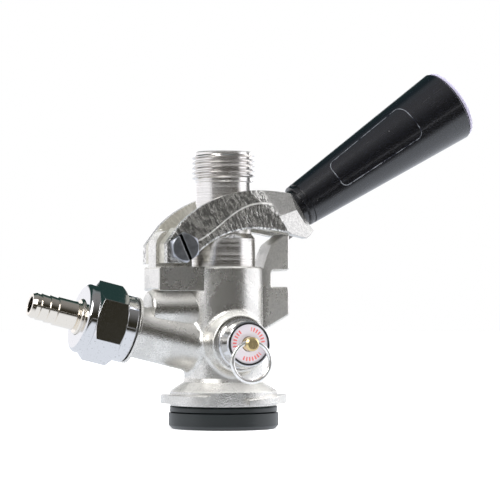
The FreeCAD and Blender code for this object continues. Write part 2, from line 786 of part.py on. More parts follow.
def crown_cutter(side):
    """Leans the bevelled side inwards above its crease, so that the socket's top is narrower."""
    start = SOCKET + HANDLE_DIR * -BEVEL_LENGTH + HANDLE_UP * SOCKET_CREASE_START
    end = SOCKET + HANDLE_DIR * -SOCKET_BAND + HANDLE_UP * SOCKET_CREASE
    top = SOCKET + HANDLE_DIR * -SOCKET_BAND + HANDLE_UP * SOCKET_ABOVE
    return half_space(
        start + NORTH * side * YOKE_HALF,
        end + NORTH * side * SOCKET_BAND_HALF,
        top + NORTH * side * SOCKET_TOP_HALF,
        top + NORTH * side * YOKE_HALF)


def fork_slot():
    """The space between the arms. Its end wall stands upright just outside the fin when the lever is down."""
    reach = 3 * FIN_OUT
    end = FIN_OUT + GAP + 0.1
    wide = Part.makeBox(reach + end, 2 * ARM_INNER, 2 * reach, V(-reach, -ARM_INNER, 0))
    for side in (-1, 1):
        start = min(side * BOSS_INNER, side * (ARM_INNER + EPS))
        wide = wide.cut(Part.makeCylinder(
            BOSS_REACH, ARM_INNER + EPS - BOSS_INNER, V(PIVOT_X, start, PIVOT_Z), NORTH))
        wide = wide.cut(Part.makeBox(
            reach, ARM_INNER + EPS - BOSS_INNER, 2 * BOSS_REACH,
            V(PIVOT_X - reach, start, PIVOT_Z - BOSS_REACH)))
    wide.rotate(PIVOT, NORTH, -LEVER_TRAVEL)
    for side in (-1, 1):
        wide = wide.cut(Part.makeBox(
            reach, ARM_INNER + EPS - FORK_FRONT_HALF, 2 * reach,
            V(FORK_FRONT_AT, min(side * FORK_FRONT_HALF, side * (ARM_INNER + EPS)), 0)))
    return wide


def heel_channel():
    """The channel under the bolt's housing, open at the socket's end face."""
    deep = 2 * SOCKET_BELOW
    return plate([
        socket_point(-deep, -HEEL_CHANNEL_ROOF),
        socket_point(EPS, -HEEL_CHANNEL_ROOF),
        socket_point(EPS, -deep),
        socket_point(-deep, -deep),
    ], HEEL_CHANNEL_HALF)


def body_clearance():
    """The room that the body's top takes between the arms when the lever is down."""
    room = rod(BODY_R + GAP, BODY_TOP - 2 * YOKE_RIM - 2, BODY_TOP + GAP)
    room.rotate(PIVOT, NORTH, -LEVER_TRAVEL)
    return room


def lever_yoke():
    """The cast fork: two arms, thick pivot bosses, and the socket whose hollow stem carries the grip."""
    solid = Part.Face(yoke_outline()).extrude(V(0, 2 * YOKE_HALF, 0))
    solid.translate(V(0, -YOKE_HALF, 0))
    rims = [e for e in solid.Edges if e.Curve.TypeId == "Part::GeomBSplineCurve"
            and e.BoundBox.YMax - e.BoundBox.YMin < 0.01]
    solid = solid.makeFillet(YOKE_RIM, rims)
    cuts = [fork_slot(), heel_channel(), body_clearance()]
    for side in (-1, 1):
        cuts.append(bevel_cutter(side))
        cuts.append(crown_cutter(side))
        for start, end in zip(ARM_CREASE[:-1], ARM_CREASE[1:]):
            cuts.append(facet_cutter(start, end, side))
    solid = solid.cut(cuts)
    solid = solid.fuse(in_handle(rod(YOKE_STEM_R, -2 * GAP, YOKE_STEM_LENGTH)))
    bores = [
        in_handle(rod(BOLT_R + RUN, BOLT_TIP - BOLT_TRAVEL, POCKET_START + EPS)),
        in_handle(rod(POCKET_R, POCKET_START, YOKE_STEM_LENGTH + EPS)),
        Part.makeCylinder(PIVOT_R + RUN, 2 * YOKE_HALF + 2 * EPS, V(PIVOT_X, -YOKE_HALF - EPS, PIVOT_Z), NORTH),
        Part.makeCylinder(PIVOT_POCKET_R, YOKE_HALF, V(PIVOT_X, YOKE_HALF - PIVOT_POCKET, PIVOT_Z), NORTH),
        Part.makeCylinder(DRIVE_R + SEAT, 2 * DRIVE_SEAT_HALF, V(DRIVE_X, -DRIVE_SEAT_HALF, DRIVE_Z), NORTH),
    ]
    return solid.cut(bores).removeSplitter()


def drive_pins():
    """The two pins, pressed blind into the arms, whose tips push the probe."""
    pins = []
    for side in (-1, 1):
        pin = rod(DRIVE_R, DRIVE_TIP, DRIVE_SEAT_HALF - SEAT)
        tip = [e for e in pin.Edges if abs(e.BoundBox.ZMax - DRIVE_TIP) < 0.01]
        pin = pin.makeChamfer(DRIVE_CHAMFER, tip)
        pins.append(placed(pin, V(DRIVE_X, 0, DRIVE_Z), V(0, side, 0)))
    return Part.makeCompound(pins)


# Pivot bolt and nut

def pivot_bolt():
    """The slotted hexagon bolt, its head towards the front."""
    head = hex_with_chamfer(HEAD_FLATS, -HEAD_HEIGHT, 0, HEAD_TURN)
    slot = Part.makeBox(
        2 * HEAD_FLATS, HEAD_SLOT, 2 * HEAD_SLOT_DEPTH,
        V(-HEAD_FLATS, -HEAD_SLOT / 2, -HEAD_HEIGHT - HEAD_SLOT_DEPTH))
    slot.rotate(ORIGIN, UP, HEAD_SLOT_LEAN)
    shank = rod(PIVOT_R, -EPS, PIVOT_NUT_AT)
    thread = rod(PIVOT_THREAD_R, 0, PIVOT_NUT_AT + PIVOT_NUT_HEIGHT + BOLT_END)
    tip = [e for e in thread.Edges if e.BoundBox.ZMin > PIVOT_NUT_AT]
    thread = thread.makeChamfer(BOLT_END / 2, tip[:1])
    return placed(head.cut(slot).fuse([shank, thread]), V(PIVOT_X, -PIVOT_SPAN / 2, PIVOT_Z), NORTH)


def pivot_nut():
    nut = hex_with_chamfer(PIVOT_NUT_FLATS, PIVOT_NUT_AT, PIVOT_NUT_AT + PIVOT_NUT_HEIGHT, HEAD_TURN)
    nut = nut.cut(rod(PIVOT_THREAD_R + SEAT, 0, PIVOT_NUT_AT + PIVOT_NUT_HEIGHT + EPS))
    return placed(nut, V(PIVOT_X, -PIVOT_SPAN / 2, PIVOT_Z), NORTH)


# Latch

def latch_bolt():
    """The bolt that drops into the fin's notch, with its spring collar and draw rod, drawn clear of the fin."""
    return in_handle(turned([
        (0, BOLT_TIP),
        (BOLT_R - BOLT_NOSE, BOLT_TIP),
        (BOLT_R, BOLT_TIP + BOLT_NOSE),
        (BOLT_R, BOLT_COLLAR_AT),
        (COLLAR_R, BOLT_COLLAR_AT),
        (COLLAR_R, BOLT_COLLAR_AT + COLLAR_LENGTH),
        (ROD_R, BOLT_COLLAR_AT + COLLAR_LENGTH),
        (ROD_R, ROD_NUT_AT + ROD_NUT_HEIGHT + ROD_TAIL - 0.4),
        (ROD_R - 0.4, ROD_NUT_AT + ROD_NUT_HEIGHT + ROD_TAIL),
        (0, ROD_NUT_AT + ROD_NUT_HEIGHT + ROD_TAIL),
    ]))


def rod_nut():
    nut = hex_with_chamfer(2 * ROD_NUT_R * math.cos(math.radians(30)), ROD_NUT_AT, ROD_NUT_AT + ROD_NUT_HEIGHT)
    return in_handle(nut.cut(rod(ROD_R + SEAT, 0, ROD_NUT_AT + ROD_NUT_HEIGHT + EPS)))


def latch_spring():
    start = BOLT_COLLAR_AT + COLLAR_LENGTH + SEAT
    return in_handle(coil(LATCH_COIL_R, LATCH_WIRE_R, start, YOKE_STEM_LENGTH - PLUG_LENGTH - SEAT, LATCH_TURNS))


def spring_plug():
    return in_handle(tube(POCKET_R - SEAT, ROD_R + RUN, YOKE_STEM_LENGTH - PLUG_LENGTH, YOKE_STEM_LENGTH))


# Grip

def grip_radius(out):
    """Outer radius of the tapered grip at a distance along the handle."""
    share = (out - GRIP_START) / (GRIP_END - GRIP_START)
    return GRIP_LOW_R + (GRIP_HIGH_R - GRIP_LOW_R) * share


def grip():
    """The moulded grip: a sliding sleeve at the foot, a cross wall for the draw rod and a hollow top."""
    wall_end = GRIP_WALL_START + GRIP_WALL
    plug_start = GRIP_END - CAP_PLUG
    groove_end = GRIP_GROOVE_AT + 2 * GRIP_GROOVE
    return in_handle(turned([
        (YOKE_STEM_R + RUN, GRIP_START),
        (GRIP_LIP_R, GRIP_START),
        (GRIP_LIP_R, GRIP_LIP),
        (grip_radius(GRIP_LIP) - GRIP_GROOVE / 2, GRIP_LIP),
        (grip_radius(GRIP_LIP), GRIP_LIP + GRIP_GROOVE / 2),
        (grip_radius(GRIP_GROOVE_AT), GRIP_GROOVE_AT),
        (grip_radius(GRIP_GROOVE_AT) - GRIP_GROOVE, GRIP_GROOVE_AT),
        (grip_radius(groove_end) - GRIP_GROOVE, groove_end),
        (grip_radius(groove_end), groove_end),
        (grip_radius(GRIP_END - GRIP_EDGE), GRIP_END - GRIP_EDGE),
        (GRIP_HIGH_R - GRIP_EDGE, GRIP_END),
        (CAP_PLUG_R + SEAT, GRIP_END),
        (CAP_PLUG_R + SEAT, plug_start - SEAT),
        (CAP_PLUG_R - 2 * EPS, plug_start - SEAT),
        (grip_radius(wall_end) - GRIP_SHELL, wall_end),
        (ROD_R + ROD_PLAY, wall_end),
        (ROD_R + ROD_PLAY, GRIP_WALL_START),
        (YOKE_STEM_R + RUN, GRIP_WALL_START),
    ]))


def grip_cap():
    """The pale domed cap, its plug pushed into the grip's open end."""
    rim = GRIP_HIGH_R - CAP_RIM
    low = GRIP_END + SEAT
    outline = [
        Part.makeLine(V(0, 0, low + CAP_STAND), V(0, 0, GRIP_END - CAP_PLUG)),
        Part.makeLine(V(0, 0, GRIP_END - CAP_PLUG), V(CAP_PLUG_R, 0, GRIP_END - CAP_PLUG)),
        Part.makeLine(V(CAP_PLUG_R, 0, GRIP_END - CAP_PLUG), V(CAP_PLUG_R, 0, low)),
        Part.makeLine(V(CAP_PLUG_R, 0, low), V(rim, 0, low)),
        Part.makeLine(V(rim, 0, low), V(rim, 0, low + CAP_STAND - CAP_DOME)),
        Part.Arc(
            V(rim, 0, low + CAP_STAND - CAP_DOME),
            V(rim * 0.6, 0, low + CAP_STAND - CAP_DOME * 0.36),
            V(0, 0, low + CAP_STAND)).toShape(),
    ]
    cap = Part.Face(Part.Wire(outline)).revolve(ORIGIN, UP, 360)
    shoulder = [e for e in cap.Edges if abs(e.BoundBox.ZMin - (low + CAP_STAND - CAP_DOME)) < 0.01
                and abs(e.BoundBox.ZMax - (low + CAP_STAND - CAP_DOME)) < 0.01]
    return in_handle(cap.makeFillet(CAP_STAND - CAP_DOME - 0.2, shoulder))


# Gas inlet fittings

def gas_nut():
    """The chromed beer nut, a hexagon between two round collars, drawn over the spigot's thread."""
    hexagonal = hex_with_chamfer(NUT_FLATS, HEX_START, HEX_END, NUT_TURN)
    inner = rod(NUT_INNER_COLLAR_R, NUT_START, HEX_START + EPS)
    inner = inner.makeChamfer(0.6, [e for e in inner.Edges if abs(e.BoundBox.ZMax - NUT_START) < 0.01])
    outer = rod(NUT_OUTER_COLLAR_R, HEX_END - EPS, NUT_END)
    outer = outer.makeFillet(NUT_OUTER_EDGE, [e for e in outer.Edges if abs(e.BoundBox.ZMin - NUT_END) < 0.01])
    nut = hexagonal.fuse([inner, outer])
    nut = nut.cut(rod(SPIGOT_THREAD_R + RUN, NUT_START - EPS, NUT_END - NUT_LIP))
    return in_inlet(nut.cut(rod(TAIL_SLEEVE_R + RUN, NUT_START, NUT_END + EPS)).removeSplitter())


def gas_tailpiece():
    """The barbed hose tail, clamped by its flange under the nut's lip."""
    shank_start = NUT_END + TAIL_SLEEVE
    points = [
        (TAIL_BORE_R, TAIL_FLANGE_START),
        (TAIL_FLANGE_R, TAIL_FLANGE_START),
        (TAIL_FLANGE_R, TAIL_FLANGE_END),
        (TAIL_SLEEVE_R, TAIL_FLANGE_END),
        (TAIL_SLEEVE_R, shank_start - 0.4),
        (TAIL_SLEEVE_R - 0.4, shank_start),
        (TAIL_R - BARB_STEP, shank_start),
        (TAIL_R - BARB_STEP, shank_start + 0.5),
        (TAIL_R, shank_start + 1.0),
    ]
    for n in range(BARB_COUNT, 0, -1):
        crest = TAIL_TIP - n * BARB_PITCH
        points.append((TAIL_R - BARB_STEP * (BARB_COUNT - n) * BARB_TAPER, crest))
        points.append((TAIL_R - BARB_STEP * ((BARB_COUNT - n) * BARB_TAPER + 1), crest + 0.2))
    points = points + [
        (TAIL_TIP_R + 0.15, TAIL_TIP - 1.4),
        (TAIL_TIP_R - 0.6, TAIL_TIP),
        (TAIL_BORE_R, TAIL_TIP),
    ]
    return in_inlet(turned(points))


def tailpiece_washer():
    return in_inlet(tube(TAIL_FLANGE_R - 0.2, TAIL_BORE_R, WASHER_START, TAIL_FLANGE_START - SEAT))


def gas_check_valve():
    """The rubber duckbill whose lips let gas in and close against beer."""
    high = SPIGOT_END
    low = high - VALVE_FLANGE
    tip = low - VALVE_CUP_LENGTH
    cup = turned([
        (0, tip),
        (VALVE_CUP_R - 2.4, tip),
        (VALVE_CUP_R, low),
        (VALVE_ROOM_R - SEAT, low),
        (VALVE_ROOM_R - SEAT, high),
        (VALVE_CUP_R - VALVE_WALL, high),
        (VALVE_CUP_R - VALVE_WALL, low),
        (VALVE_WALL, tip + VALVE_WALL),
        (0, tip + VALVE_WALL),
    ])
    slit = Part.makeBox(VALVE_SLIT, 2 * VALVE_SLIT_HALF, 2 * VALVE_WALL + EPS, V(
        -VALVE_SLIT / 2, -VALVE_SLIT_HALF, tip - EPS))
    return in_inlet(cup.cut(slit))


# Relief valve

def relief_sleeve():
    """The chromed housing, its spigot in the casting's boss and its inner floor the valve seat."""
    back = RELIEF_SEAT_AT + SEAT
    groove = RELIEF_RING_WIRE
    body = turned([
        (RELIEF_PORT_R, back),
        (RELIEF_SPIGOT_R, back),
        (RELIEF_SPIGOT_R, RELIEF_RING_AT - groove),
        (RELIEF_SPIGOT_R - 2 * groove, RELIEF_RING_AT - groove),
        (RELIEF_SPIGOT_R - 2 * groove, RELIEF_RING_AT + groove),
        (RELIEF_SPIGOT_R, RELIEF_RING_AT + groove),
        (RELIEF_SPIGOT_R, RELIEF_BOSS_END + SEAT),
        (SLEEVE_R - 0.3, RELIEF_BOSS_END + SEAT),
        (SLEEVE_R, RELIEF_BOSS_END + 0.3),
        (SLEEVE_R, RELIEF_BOSS_END + SLEEVE_LIP),
        (SLEEVE_R - 0.4, RELIEF_BOSS_END + SLEEVE_LIP + 0.4),
        (SLEEVE_FRONT_R, SLEEVE_FRONT - 0.5),
        (SLEEVE_FRONT_R - 0.4, SLEEVE_FRONT),
        (INSERT_R + SEAT, SLEEVE_FRONT),
        (INSERT_R + SEAT, INSERT_START - SEAT),
        (SLEEVE_BORE_R, INSERT_START - SEAT),
        (SLEEVE_BORE_R, SLEEVE_FLOOR_AT),
        (RELIEF_PORT_R, SLEEVE_FLOOR_AT),
    ])
    return in_relief(body)


def relief_o_ring():
    major = RELIEF_SPIGOT_R - RELIEF_RING_WIRE
    return in_relief(torus(major, RELIEF_RING_WIRE - SEAT, V(0, 0, RELIEF_RING_AT), UP))


def relief_insert():
    """The black guide that holds the label and closes the spring's room."""
    return in_relief(turned([
        (RELIEF_STEM_R + RUN, INSERT_START),
        (INSERT_R, INSERT_START),
        (INSERT_R, SLEEVE_FRONT + INSERT_PROUD),
        (LABEL_R + SEAT, SLEEVE_FRONT + INSERT_PROUD),
        (LABEL_R + SEAT, LABEL_AT),
        (RELIEF_STEM_R + RUN, LABEL_AT),
    ]))


def relief_label():
    return in_relief(tube(LABEL_R, RELIEF_STEM_R + 2 * RUN, LABEL_AT + SEAT, LABEL_AT + LABEL))


def relief_stem():
    """The brass stem: a plate behind the rubber disc, a thin neck in the spring and the drilled front end."""
    stem = turned([
        (0, POPPET_AT + POPPET),
        (POPPET_R, POPPET_AT + POPPET),
        (POPPET_R, POPPET_AT + POPPET + POPPET_PLATE),
        (RELIEF_NECK_R, POPPET_AT + POPPET + POPPET_PLATE),
        (RELIEF_NECK_R, INSERT_START - POPPET_PLATE),
        (RELIEF_STEM_R, INSERT_START - POPPET_PLATE),
        (RELIEF_STEM_R, RELIEF_STEM_END - RELIEF_STEM_NOSE),
        (RELIEF_STEM_R - RELIEF_STEM_NOSE, RELIEF_STEM_END),
        (0, RELIEF_STEM_END),
    ])
    hole = Part.makeCylinder(RING_HOLE_R, 4 * RELIEF_STEM_R, V(-2 * RELIEF_STEM_R, RING_RISE, RING_AT), EAST)
    return in_relief(stem.cut(hole))


def relief_seal():
    return in_relief(rod(POPPET_R, POPPET_AT, POPPET_AT + POPPET - SEAT))


def relief_spring():
    start = POPPET_AT + POPPET + POPPET_PLATE + SEAT
    return in_relief(coil(RELIEF_COIL_R, RELIEF_WIRE_R, start, INSERT_START - SEAT, RELIEF_TURNS))


def relief_ring():
    """The pull ring, hanging in the stem's cross hole."""
    return torus(RING_R, RING_WIRE, V(0, -RING_AT, RELIEF_Z + RING_RISE + RING_BOW - RING_R), NORTH)


NODES = {
    "coupler_body": coupler_body,
    "body_seal": body_seal,
    "pivot_bolt": pivot_bolt,
    "pivot_nut": pivot_nut,
    "probe": probe,
    "probe_o_rings": probe_o_rings,
    "probe_seal": probe_seal,
    "ball_retainer": ball_retainer,
    "check_ball": check_ball,
    "lever_yoke": lever_yoke,
    "drive_pins": drive_pins,
    "spring_plug": spring_plug,
    "latch_bolt": latch_bolt,
    "rod_nut": rod_nut,
    "latch_spring": latch_spring,
    "grip": grip,
    "grip_cap": grip_cap,
    "gas_nut": gas_nut,
    "gas_tailpiece": gas_tailpiece,
    "tailpiece_washer": tailpiece_washer,
    "gas_check_valve": gas_check_valve,
    "relief_sleeve": relief_sleeve,
    "relief_o_ring": relief_o_ring,
    "relief_insert": relief_insert,
    "relief_label": relief_label,
    "relief_stem": relief_stem,
    "relief_seal": relief_seal,
    "relief_spring": relief_spring,
    "relief_ring": relief_ring,
}


def main():
    os.makedirs("parts", exist_ok=True)
    for name, make in NODES.items():
        shape = make()
        print(name, len(shape.Solids), round(shape.Volume, 1), shape.isValid())
        shape.exportStep("parts/" + name + ".step")


main()
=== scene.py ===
import math

import bpy
from bpy.props import FloatProperty, FloatVectorProperty, PointerProperty
from mathutils import Matrix, Vector


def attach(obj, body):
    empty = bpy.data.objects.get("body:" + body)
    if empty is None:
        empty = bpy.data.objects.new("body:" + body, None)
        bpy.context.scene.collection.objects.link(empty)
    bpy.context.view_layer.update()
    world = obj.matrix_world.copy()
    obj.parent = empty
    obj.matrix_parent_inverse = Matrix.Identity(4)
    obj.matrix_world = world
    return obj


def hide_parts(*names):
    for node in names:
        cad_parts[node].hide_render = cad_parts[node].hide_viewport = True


bl_info = {
    "name": "Keg Coupler Dresser",
    "version": (1, 0, 0),
    "blender": (4, 5, 0),
    "location": "3D View > Sidebar > Coupler",
    "description": "Dresses the keg coupler's solids with turned, cast and moulded finishes",
    "category": "Object",
}

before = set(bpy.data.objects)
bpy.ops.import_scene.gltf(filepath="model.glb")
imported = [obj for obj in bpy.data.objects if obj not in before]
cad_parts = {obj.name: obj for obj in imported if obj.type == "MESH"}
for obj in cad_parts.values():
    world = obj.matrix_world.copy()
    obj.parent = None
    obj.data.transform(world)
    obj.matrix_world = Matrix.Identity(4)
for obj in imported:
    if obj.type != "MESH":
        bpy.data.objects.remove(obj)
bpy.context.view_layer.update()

MM = 0.001
MERGE = 1e-6      # vertices this near each other become one

# Where the slanted pieces sit and point, as in the solids
INLET_TILT = math.radians(14.0)
HANDLE_TILT = math.radians(32.9)
INLET_ROOT = Vector((0, 0, 26.85)) * MM
SOCKET = Vector((27.15, 0, 79.5)) * MM
RELIEF_ROOT = Vector((0, 0, 30.9)) * MM
PIVOT = Vector((-20.3, 0, 64.9)) * MM

# The lever's arms, which bow round a centre, and the height of the crease along them
BOW_CENTRE = Vector((20, 0, 30)) * MM
BOW_RADIUS = 50 * MM
CREASE = (77.96, 31.44, -67.40, -102.90, 260.03)      # mm, for rising powers of x over the bow's radius

# Where one skin of a piece gives way to another, and where painted highlights and painted shade begin, in
# metres:
# none of it at the first, all of it at the second
FIN_SKIN = (0.0120, 0.0160)              # along X
ARM_SKIN = (-0.0095, -0.0115)            # from the socket, along the handle
# the arms' inner sides, for their painted highlight
INNER_SIDE_HIGHLIGHT = (0.0108, 0.0106)            # from the middle plane
# the crease, for the painted highlight along it
CREASE_HIGHLIGHT = (0.00045, 0.00025)         # from the crease's middle
# the seal's top ring, for its painted shade
SEAL_SHADE = (0.0075, 0.0079)              # along Z
PRINT_FROM = (0.00455, 0.0046)           # from the disc's middle
PRINT_TO = (0.00605, 0.0060)
# the slot, for its painted shade and the painted highlight along its edges
SLOT_SIDE = (0.00072, 0.00060)           # from the slot's middle
SLOT_HIGHLIGHT = (0.00105, 0.00085)
SLOT_MOUTH = (-0.01768, -0.01755)        # along Y
SLOT_FLOOR = (-0.0163, -0.0165)
HEAD_FACE = (-0.01760, -0.01768)

SLOT_LEAN = math.radians(66.0)           # of the slot in the bolt's head
TICKS_ROUND = 30.0                       # on the disc, if they went all round it
ROWS_ROUND = 3.0
ROWS_TURN = 0.6                          # what turns the rows, in radians times their number

# The outlet's small edges and its thread's ends
BORE_CHAMFER = 0.99 * MM
RIM_BREAK = 0.3 * MM
ROOT_UNDER = 0.2 * MM
NECK_UNDER = 0.5 * MM
RIDGE_SUNK = 0.06 * MM
RIDGE_UNDER = 0.4 * MM
RIDGE_BELOW_TOP = 0.5 * MM
TUBE_STEPS = 96
RIDGE_STEPS = 72                         # in one turn
RUN_OUT_STEPS = 20
PROBE_SMOOTH = math.radians(25)

# The raised line on the grip
CORNER_STEPS = 8
SIDE_CUTS = 7
LINE_ROUNDNESS = 2
LINE_SMOOTH = math.radians(40)

# The tent that the metal reflects: degrees round from its front, and heights that are 1 straight up
LEFT_WALL = (-60, -84)
RIGHT_WALL = (42, 56)
FAR_SIDE = (95, 120)
LEFT_TOP = (0.60, 0.38)
RIGHT_TOP = (0.62, 0.42)
FAR_SIDE_FOOT = (0.20, 0.42)
ROOF_RISE = (0.20, 0.95)
ROOF_BACK = (0.42, 0.22)                 # along Y, 1 being straight back
ROOF_MIDDLE = (0.86, 0.95)
TABLE_TOP = (0.02, -0.04)
LEFT_SHARE = 0.66                        # of the walls' brightness
ROOF_SHARE = 0.14
WALL_TINT = (1.0, 1.0, 1.04)
BRIGHT_FLOOR = (0.25, 0.11)              # metres from the middle
WHITE = (1, 1, 1)

# The floor, the lamps and the camera, whose lengths are in metres apart from the sensor's
FLOOR_RADIUS = 3.0
LAMP_AIM = Vector((0.01, 0, 0.06))
KEY_PLACE = Vector((-0.55, -0.35, 0.55))
KEY_SIZE = (0.5, 0.5)
OVERHEAD_PLACE = Vector((0.42, 0.04, 0.90))
OVERHEAD_SIZE = (0.30, 0.30)
RIM_PLACE = Vector((0.65, 0.15, 0.40))
RIM_SIZE = (0.4, 0.6)
RIM_SHARE = 0.25                         # of the key lamp's power
CAMERA_HEIGHT = 0.0443
AIM_HEIGHT = 0.0646
AIM_ASIDE = 0.0096                       # to the picture's right of the probe's axis
SENSOR_MM = 36
CLIP_NEAR = 0.05
CLIP_FAR = 20


def axes(root, out, up):
    """A frame whose Z runs out along a piece's axis and whose X is square to it."""
    z = Vector(out).normalized()
    x = Vector(up).normalized()
    y = z.cross(x)
    return Matrix((
        (x.x, y.x, z.x, root.x),
        (x.y, y.y, z.y, root.y),
        (x.z, y.z, z.z, root.z),
        (0, 0, 0, 1),
    ))


INLET_FRAME = axes(
    INLET_ROOT,
    (-math.cos(INLET_TILT), 0, math.sin(INLET_TILT)),
    (math.sin(INLET_TILT), 0, math.cos(INLET_TILT)))
HANDLE_FRAME = axes(
    SOCKET,
    (math.cos(HANDLE_TILT), 0, math.sin(HANDLE_TILT)),
    (-math.sin(HANDLE_TILT), 0, math.cos(HANDLE_TILT)))
RELIEF_FRAME = axes(RELIEF_ROOT, (0, -1, 0), (0, 0, 1))


# Shader maths

class Value:
    """A number, place or colour on its way through a tree of nodes."""

    def __init__(self, nodes, socket):
        self.nodes = nodes
        self.socket = socket

    def apply(self, operation, *others, swap=False):
        terms = [self, *others]
        if swap:
            terms.reverse()
        made = self.nodes.node("ShaderNodeMath", {"operation": operation}, dict(enumerate(terms)))
        return Value(self.nodes, made.outputs[0])

    def __add__(self, other):
        return self.apply("ADD", other)

    __radd__ = __add__

    def __sub__(self, other):
        return self.apply("SUBTRACT", other)

    def __rsub__(self, other):
        return self.apply("SUBTRACT", other, swap=True)

    def __mul__(self, other):
        return self.apply("MULTIPLY", other)

    __rmul__ = __mul__

    def __truediv__(self, other):
        return self.apply("DIVIDE", other)

    def __pow__(self, other):
        return self.apply("POWER", other)

    def __abs__(self):
        return self.apply("ABSOLUTE")

    def most(self, other):
        return self.apply("MAXIMUM", other)

    def above(self, low, high):
        """0 below low, 1 above high, smooth between them. Low may be the larger one."""
        made = self.nodes.node(
            "ShaderNodeMapRange",
            {"interpolation_type": "SMOOTHSTEP"},
            {"Value": self, "From Min": low, "From Max": high})
        return Value(self.nodes, made.outputs[0])


def bearing(x, y):
    """Degrees round from the front, from the X and Y of a place or direction."""
    return x.apply("ARCTAN2", 0 - y) * (180 / math.pi)


class Nodes:
    """A tree of shader nodes, for a material or the world."""

    def __init__(self, tree, output, coordinates):
        self.tree = tree
        self.tree.nodes.clear()
        self.output = self.node(output).inputs["Surface"]
        self.place = Value(self, self.node("ShaderNodeTexCoord").outputs[coordinates])

    def feed(self, socket, value):
        if isinstance(value, Value):
            self.tree.links.new(value.socket, socket)
        elif socket.type == "RGBA" and len(value) == 3:
            socket.default_value = (*value, 1)
        else:
            socket.default_value = value

    def node(self, kind, settings=None, inputs=None):
        """One node: its settings are set first, then the values or links of its sockets."""
        made = self.tree.nodes.new(kind)
        for name, value in (settings or {}).items():
            setattr(made, name, value)
        for name, value in (inputs or {}).items():
            self.feed(made.inputs[name], value)
        return made

    def parts(self, vector=None):
        """X, Y and Z of a place or direction, each as a value."""
        made = self.node("ShaderNodeSeparateXYZ", None, {"Vector": vector or self.place})
        return [Value(self, made.outputs[n]) for n in range(3)]

    def blend(self, share, first, second):
        """A colour that is first where share is 0 and second where it is 1."""
        made = self.node("ShaderNodeMix", {"data_type": "RGBA"}, {0: share, 6: first, 7: second})
        return Value(self, made.outputs[2])

    def light(self, kind, tint, strength):
        made = self.node(kind, None, {"Color": tint, "Strength": strength})
        return Value(self, made.outputs[0])

    def where(self, ray, first, second):
        """A shader that is second for one kind of ray, such as the camera's, and first for the others."""
        hit = Value(self, self.node("ShaderNodeLightPath").outputs[ray])
        made = self.node("ShaderNodeMixShader", None, {0: hit, 1: first, 2: second})
        return Value(self, made.outputs[0])


class Finish(Nodes):
    """A procedural material. With a matrix, its places are measured in that frame."""

    def __init__(self, name, matrix=None):
        self.material = bpy.data.materials.new(name)
        self.material.use_nodes = True
        super().__init__(self.material.node_tree, "ShaderNodeOutputMaterial", "Object")
        self.shader = self.node("ShaderNodeBsdfPrincipled")
        self.surface = Value(self, self.shader.outputs["BSDF"])
        self.feed(self.output, self.surface)
        if matrix is not None:
            back = matrix.inverted()
            turned = self.node(
                "ShaderNodeMapping", {"vector_type": "POINT"},
                {"Vector": self.place, "Location": back.to_translation(), "Rotation": back.to_euler()})
            self.place = Value(self, turned.outputs["Vector"])

    def point(self, x, y, z):
        made = self.node("ShaderNodeCombineXYZ", None, {"X": x, "Y": y, "Z": z})
        return Value(self, made.outputs[0])

    def stretched(self, x, y, z):
        made = self.node(
            "ShaderNodeVectorMath", {"operation": "MULTIPLY"}, {0: self.place, 1: (x, y, z)})
        return Value(self, made.outputs[0])

    def upward(self):
        """How far the surface faces up, 1 being straight up."""
        normal = self.node("ShaderNodeNewGeometry").outputs["Normal"]
        return self.parts(Value(self, normal))[2]

    def noise(self, width, detail=3.0, rough=0.5, vector=None):
        """Cloudy values about 0.5, whose patches are about as wide as width in metres."""
        made = self.node(
            "ShaderNodeTexNoise", None,
            {"Vector": vector or self.place, "Scale": 1 / width, "Detail": detail, "Roughness": rough})
        return Value(self, made.outputs["Fac"])

    def cells(self, width):
        """Distances from scattered points that are about width apart, 1 being that width."""
        made = self.node("ShaderNodeTexVoronoi", None, {"Vector": self.place, "Scale": 1 / width})
        return Value(self, made.outputs["Distance"])

    def rounded(self, radius):
        """The surface's normal, with edges that look rounded off."""
        made = self.node("ShaderNodeBevel", {"samples": 6}, {"Radius": radius})
        return Value(self, made.outputs[0])

    def bump(self, height, depth, under=None):
        """A normal from a height that is 0 to 1, depth being its full swing in metres."""
        made = self.node("ShaderNodeBump", None, {"Height": height, "Distance": depth, "Strength": 1.0})
        if under is not None:
            self.feed(made.inputs["Normal"], under)
        return Value(self, made.outputs[0])

    def set(self, **sockets):
        for name, value in sockets.items():
            label = name.replace("_", " ").title().replace("Ior", "IOR")
            self.feed(self.shader.inputs[label], value)
        return self.material


def toned(base, share):
    """A colour made darker or paler by a share."""
    return [min(1.0, c * share) for c in base]


def dress(names, material):
    """Gives CAD nodes a finish."""
    for name in names:
        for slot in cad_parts[name].material_slots:
            slot.material = material


# Settings

def colour(name, text, value):
    return FloatVectorProperty(
        name=name, description=text, subtype="COLOR", size=3, min=0, max=1, default=value)


def size(name, text, value):
    return FloatProperty(name=name, description=text, default=value, unit="LENGTH", precision=5)


def level(name, text, value, least=0):
    return FloatProperty(name=name, description=text, default=value, min=least)


class CastFinishes(bpy.types.PropertyGroup):
    nickel: colour("Nickel", "Colour of the satin plated body", (0.84, 0.825, 0.79))
    worn_nickel: colour("Worn nickel", "Colour of the rougher plating on the lever", (0.50, 0.495, 0.48))
    grain: size("Grain", "Width of the cast skin's grain", 0.0006)
    grain_depth: size("Grain depth", "Height of the cast skin's grain", 0.00006)
    edge: size("Edge", "Radius to which the castings' edges look tumbled", 0.00035)


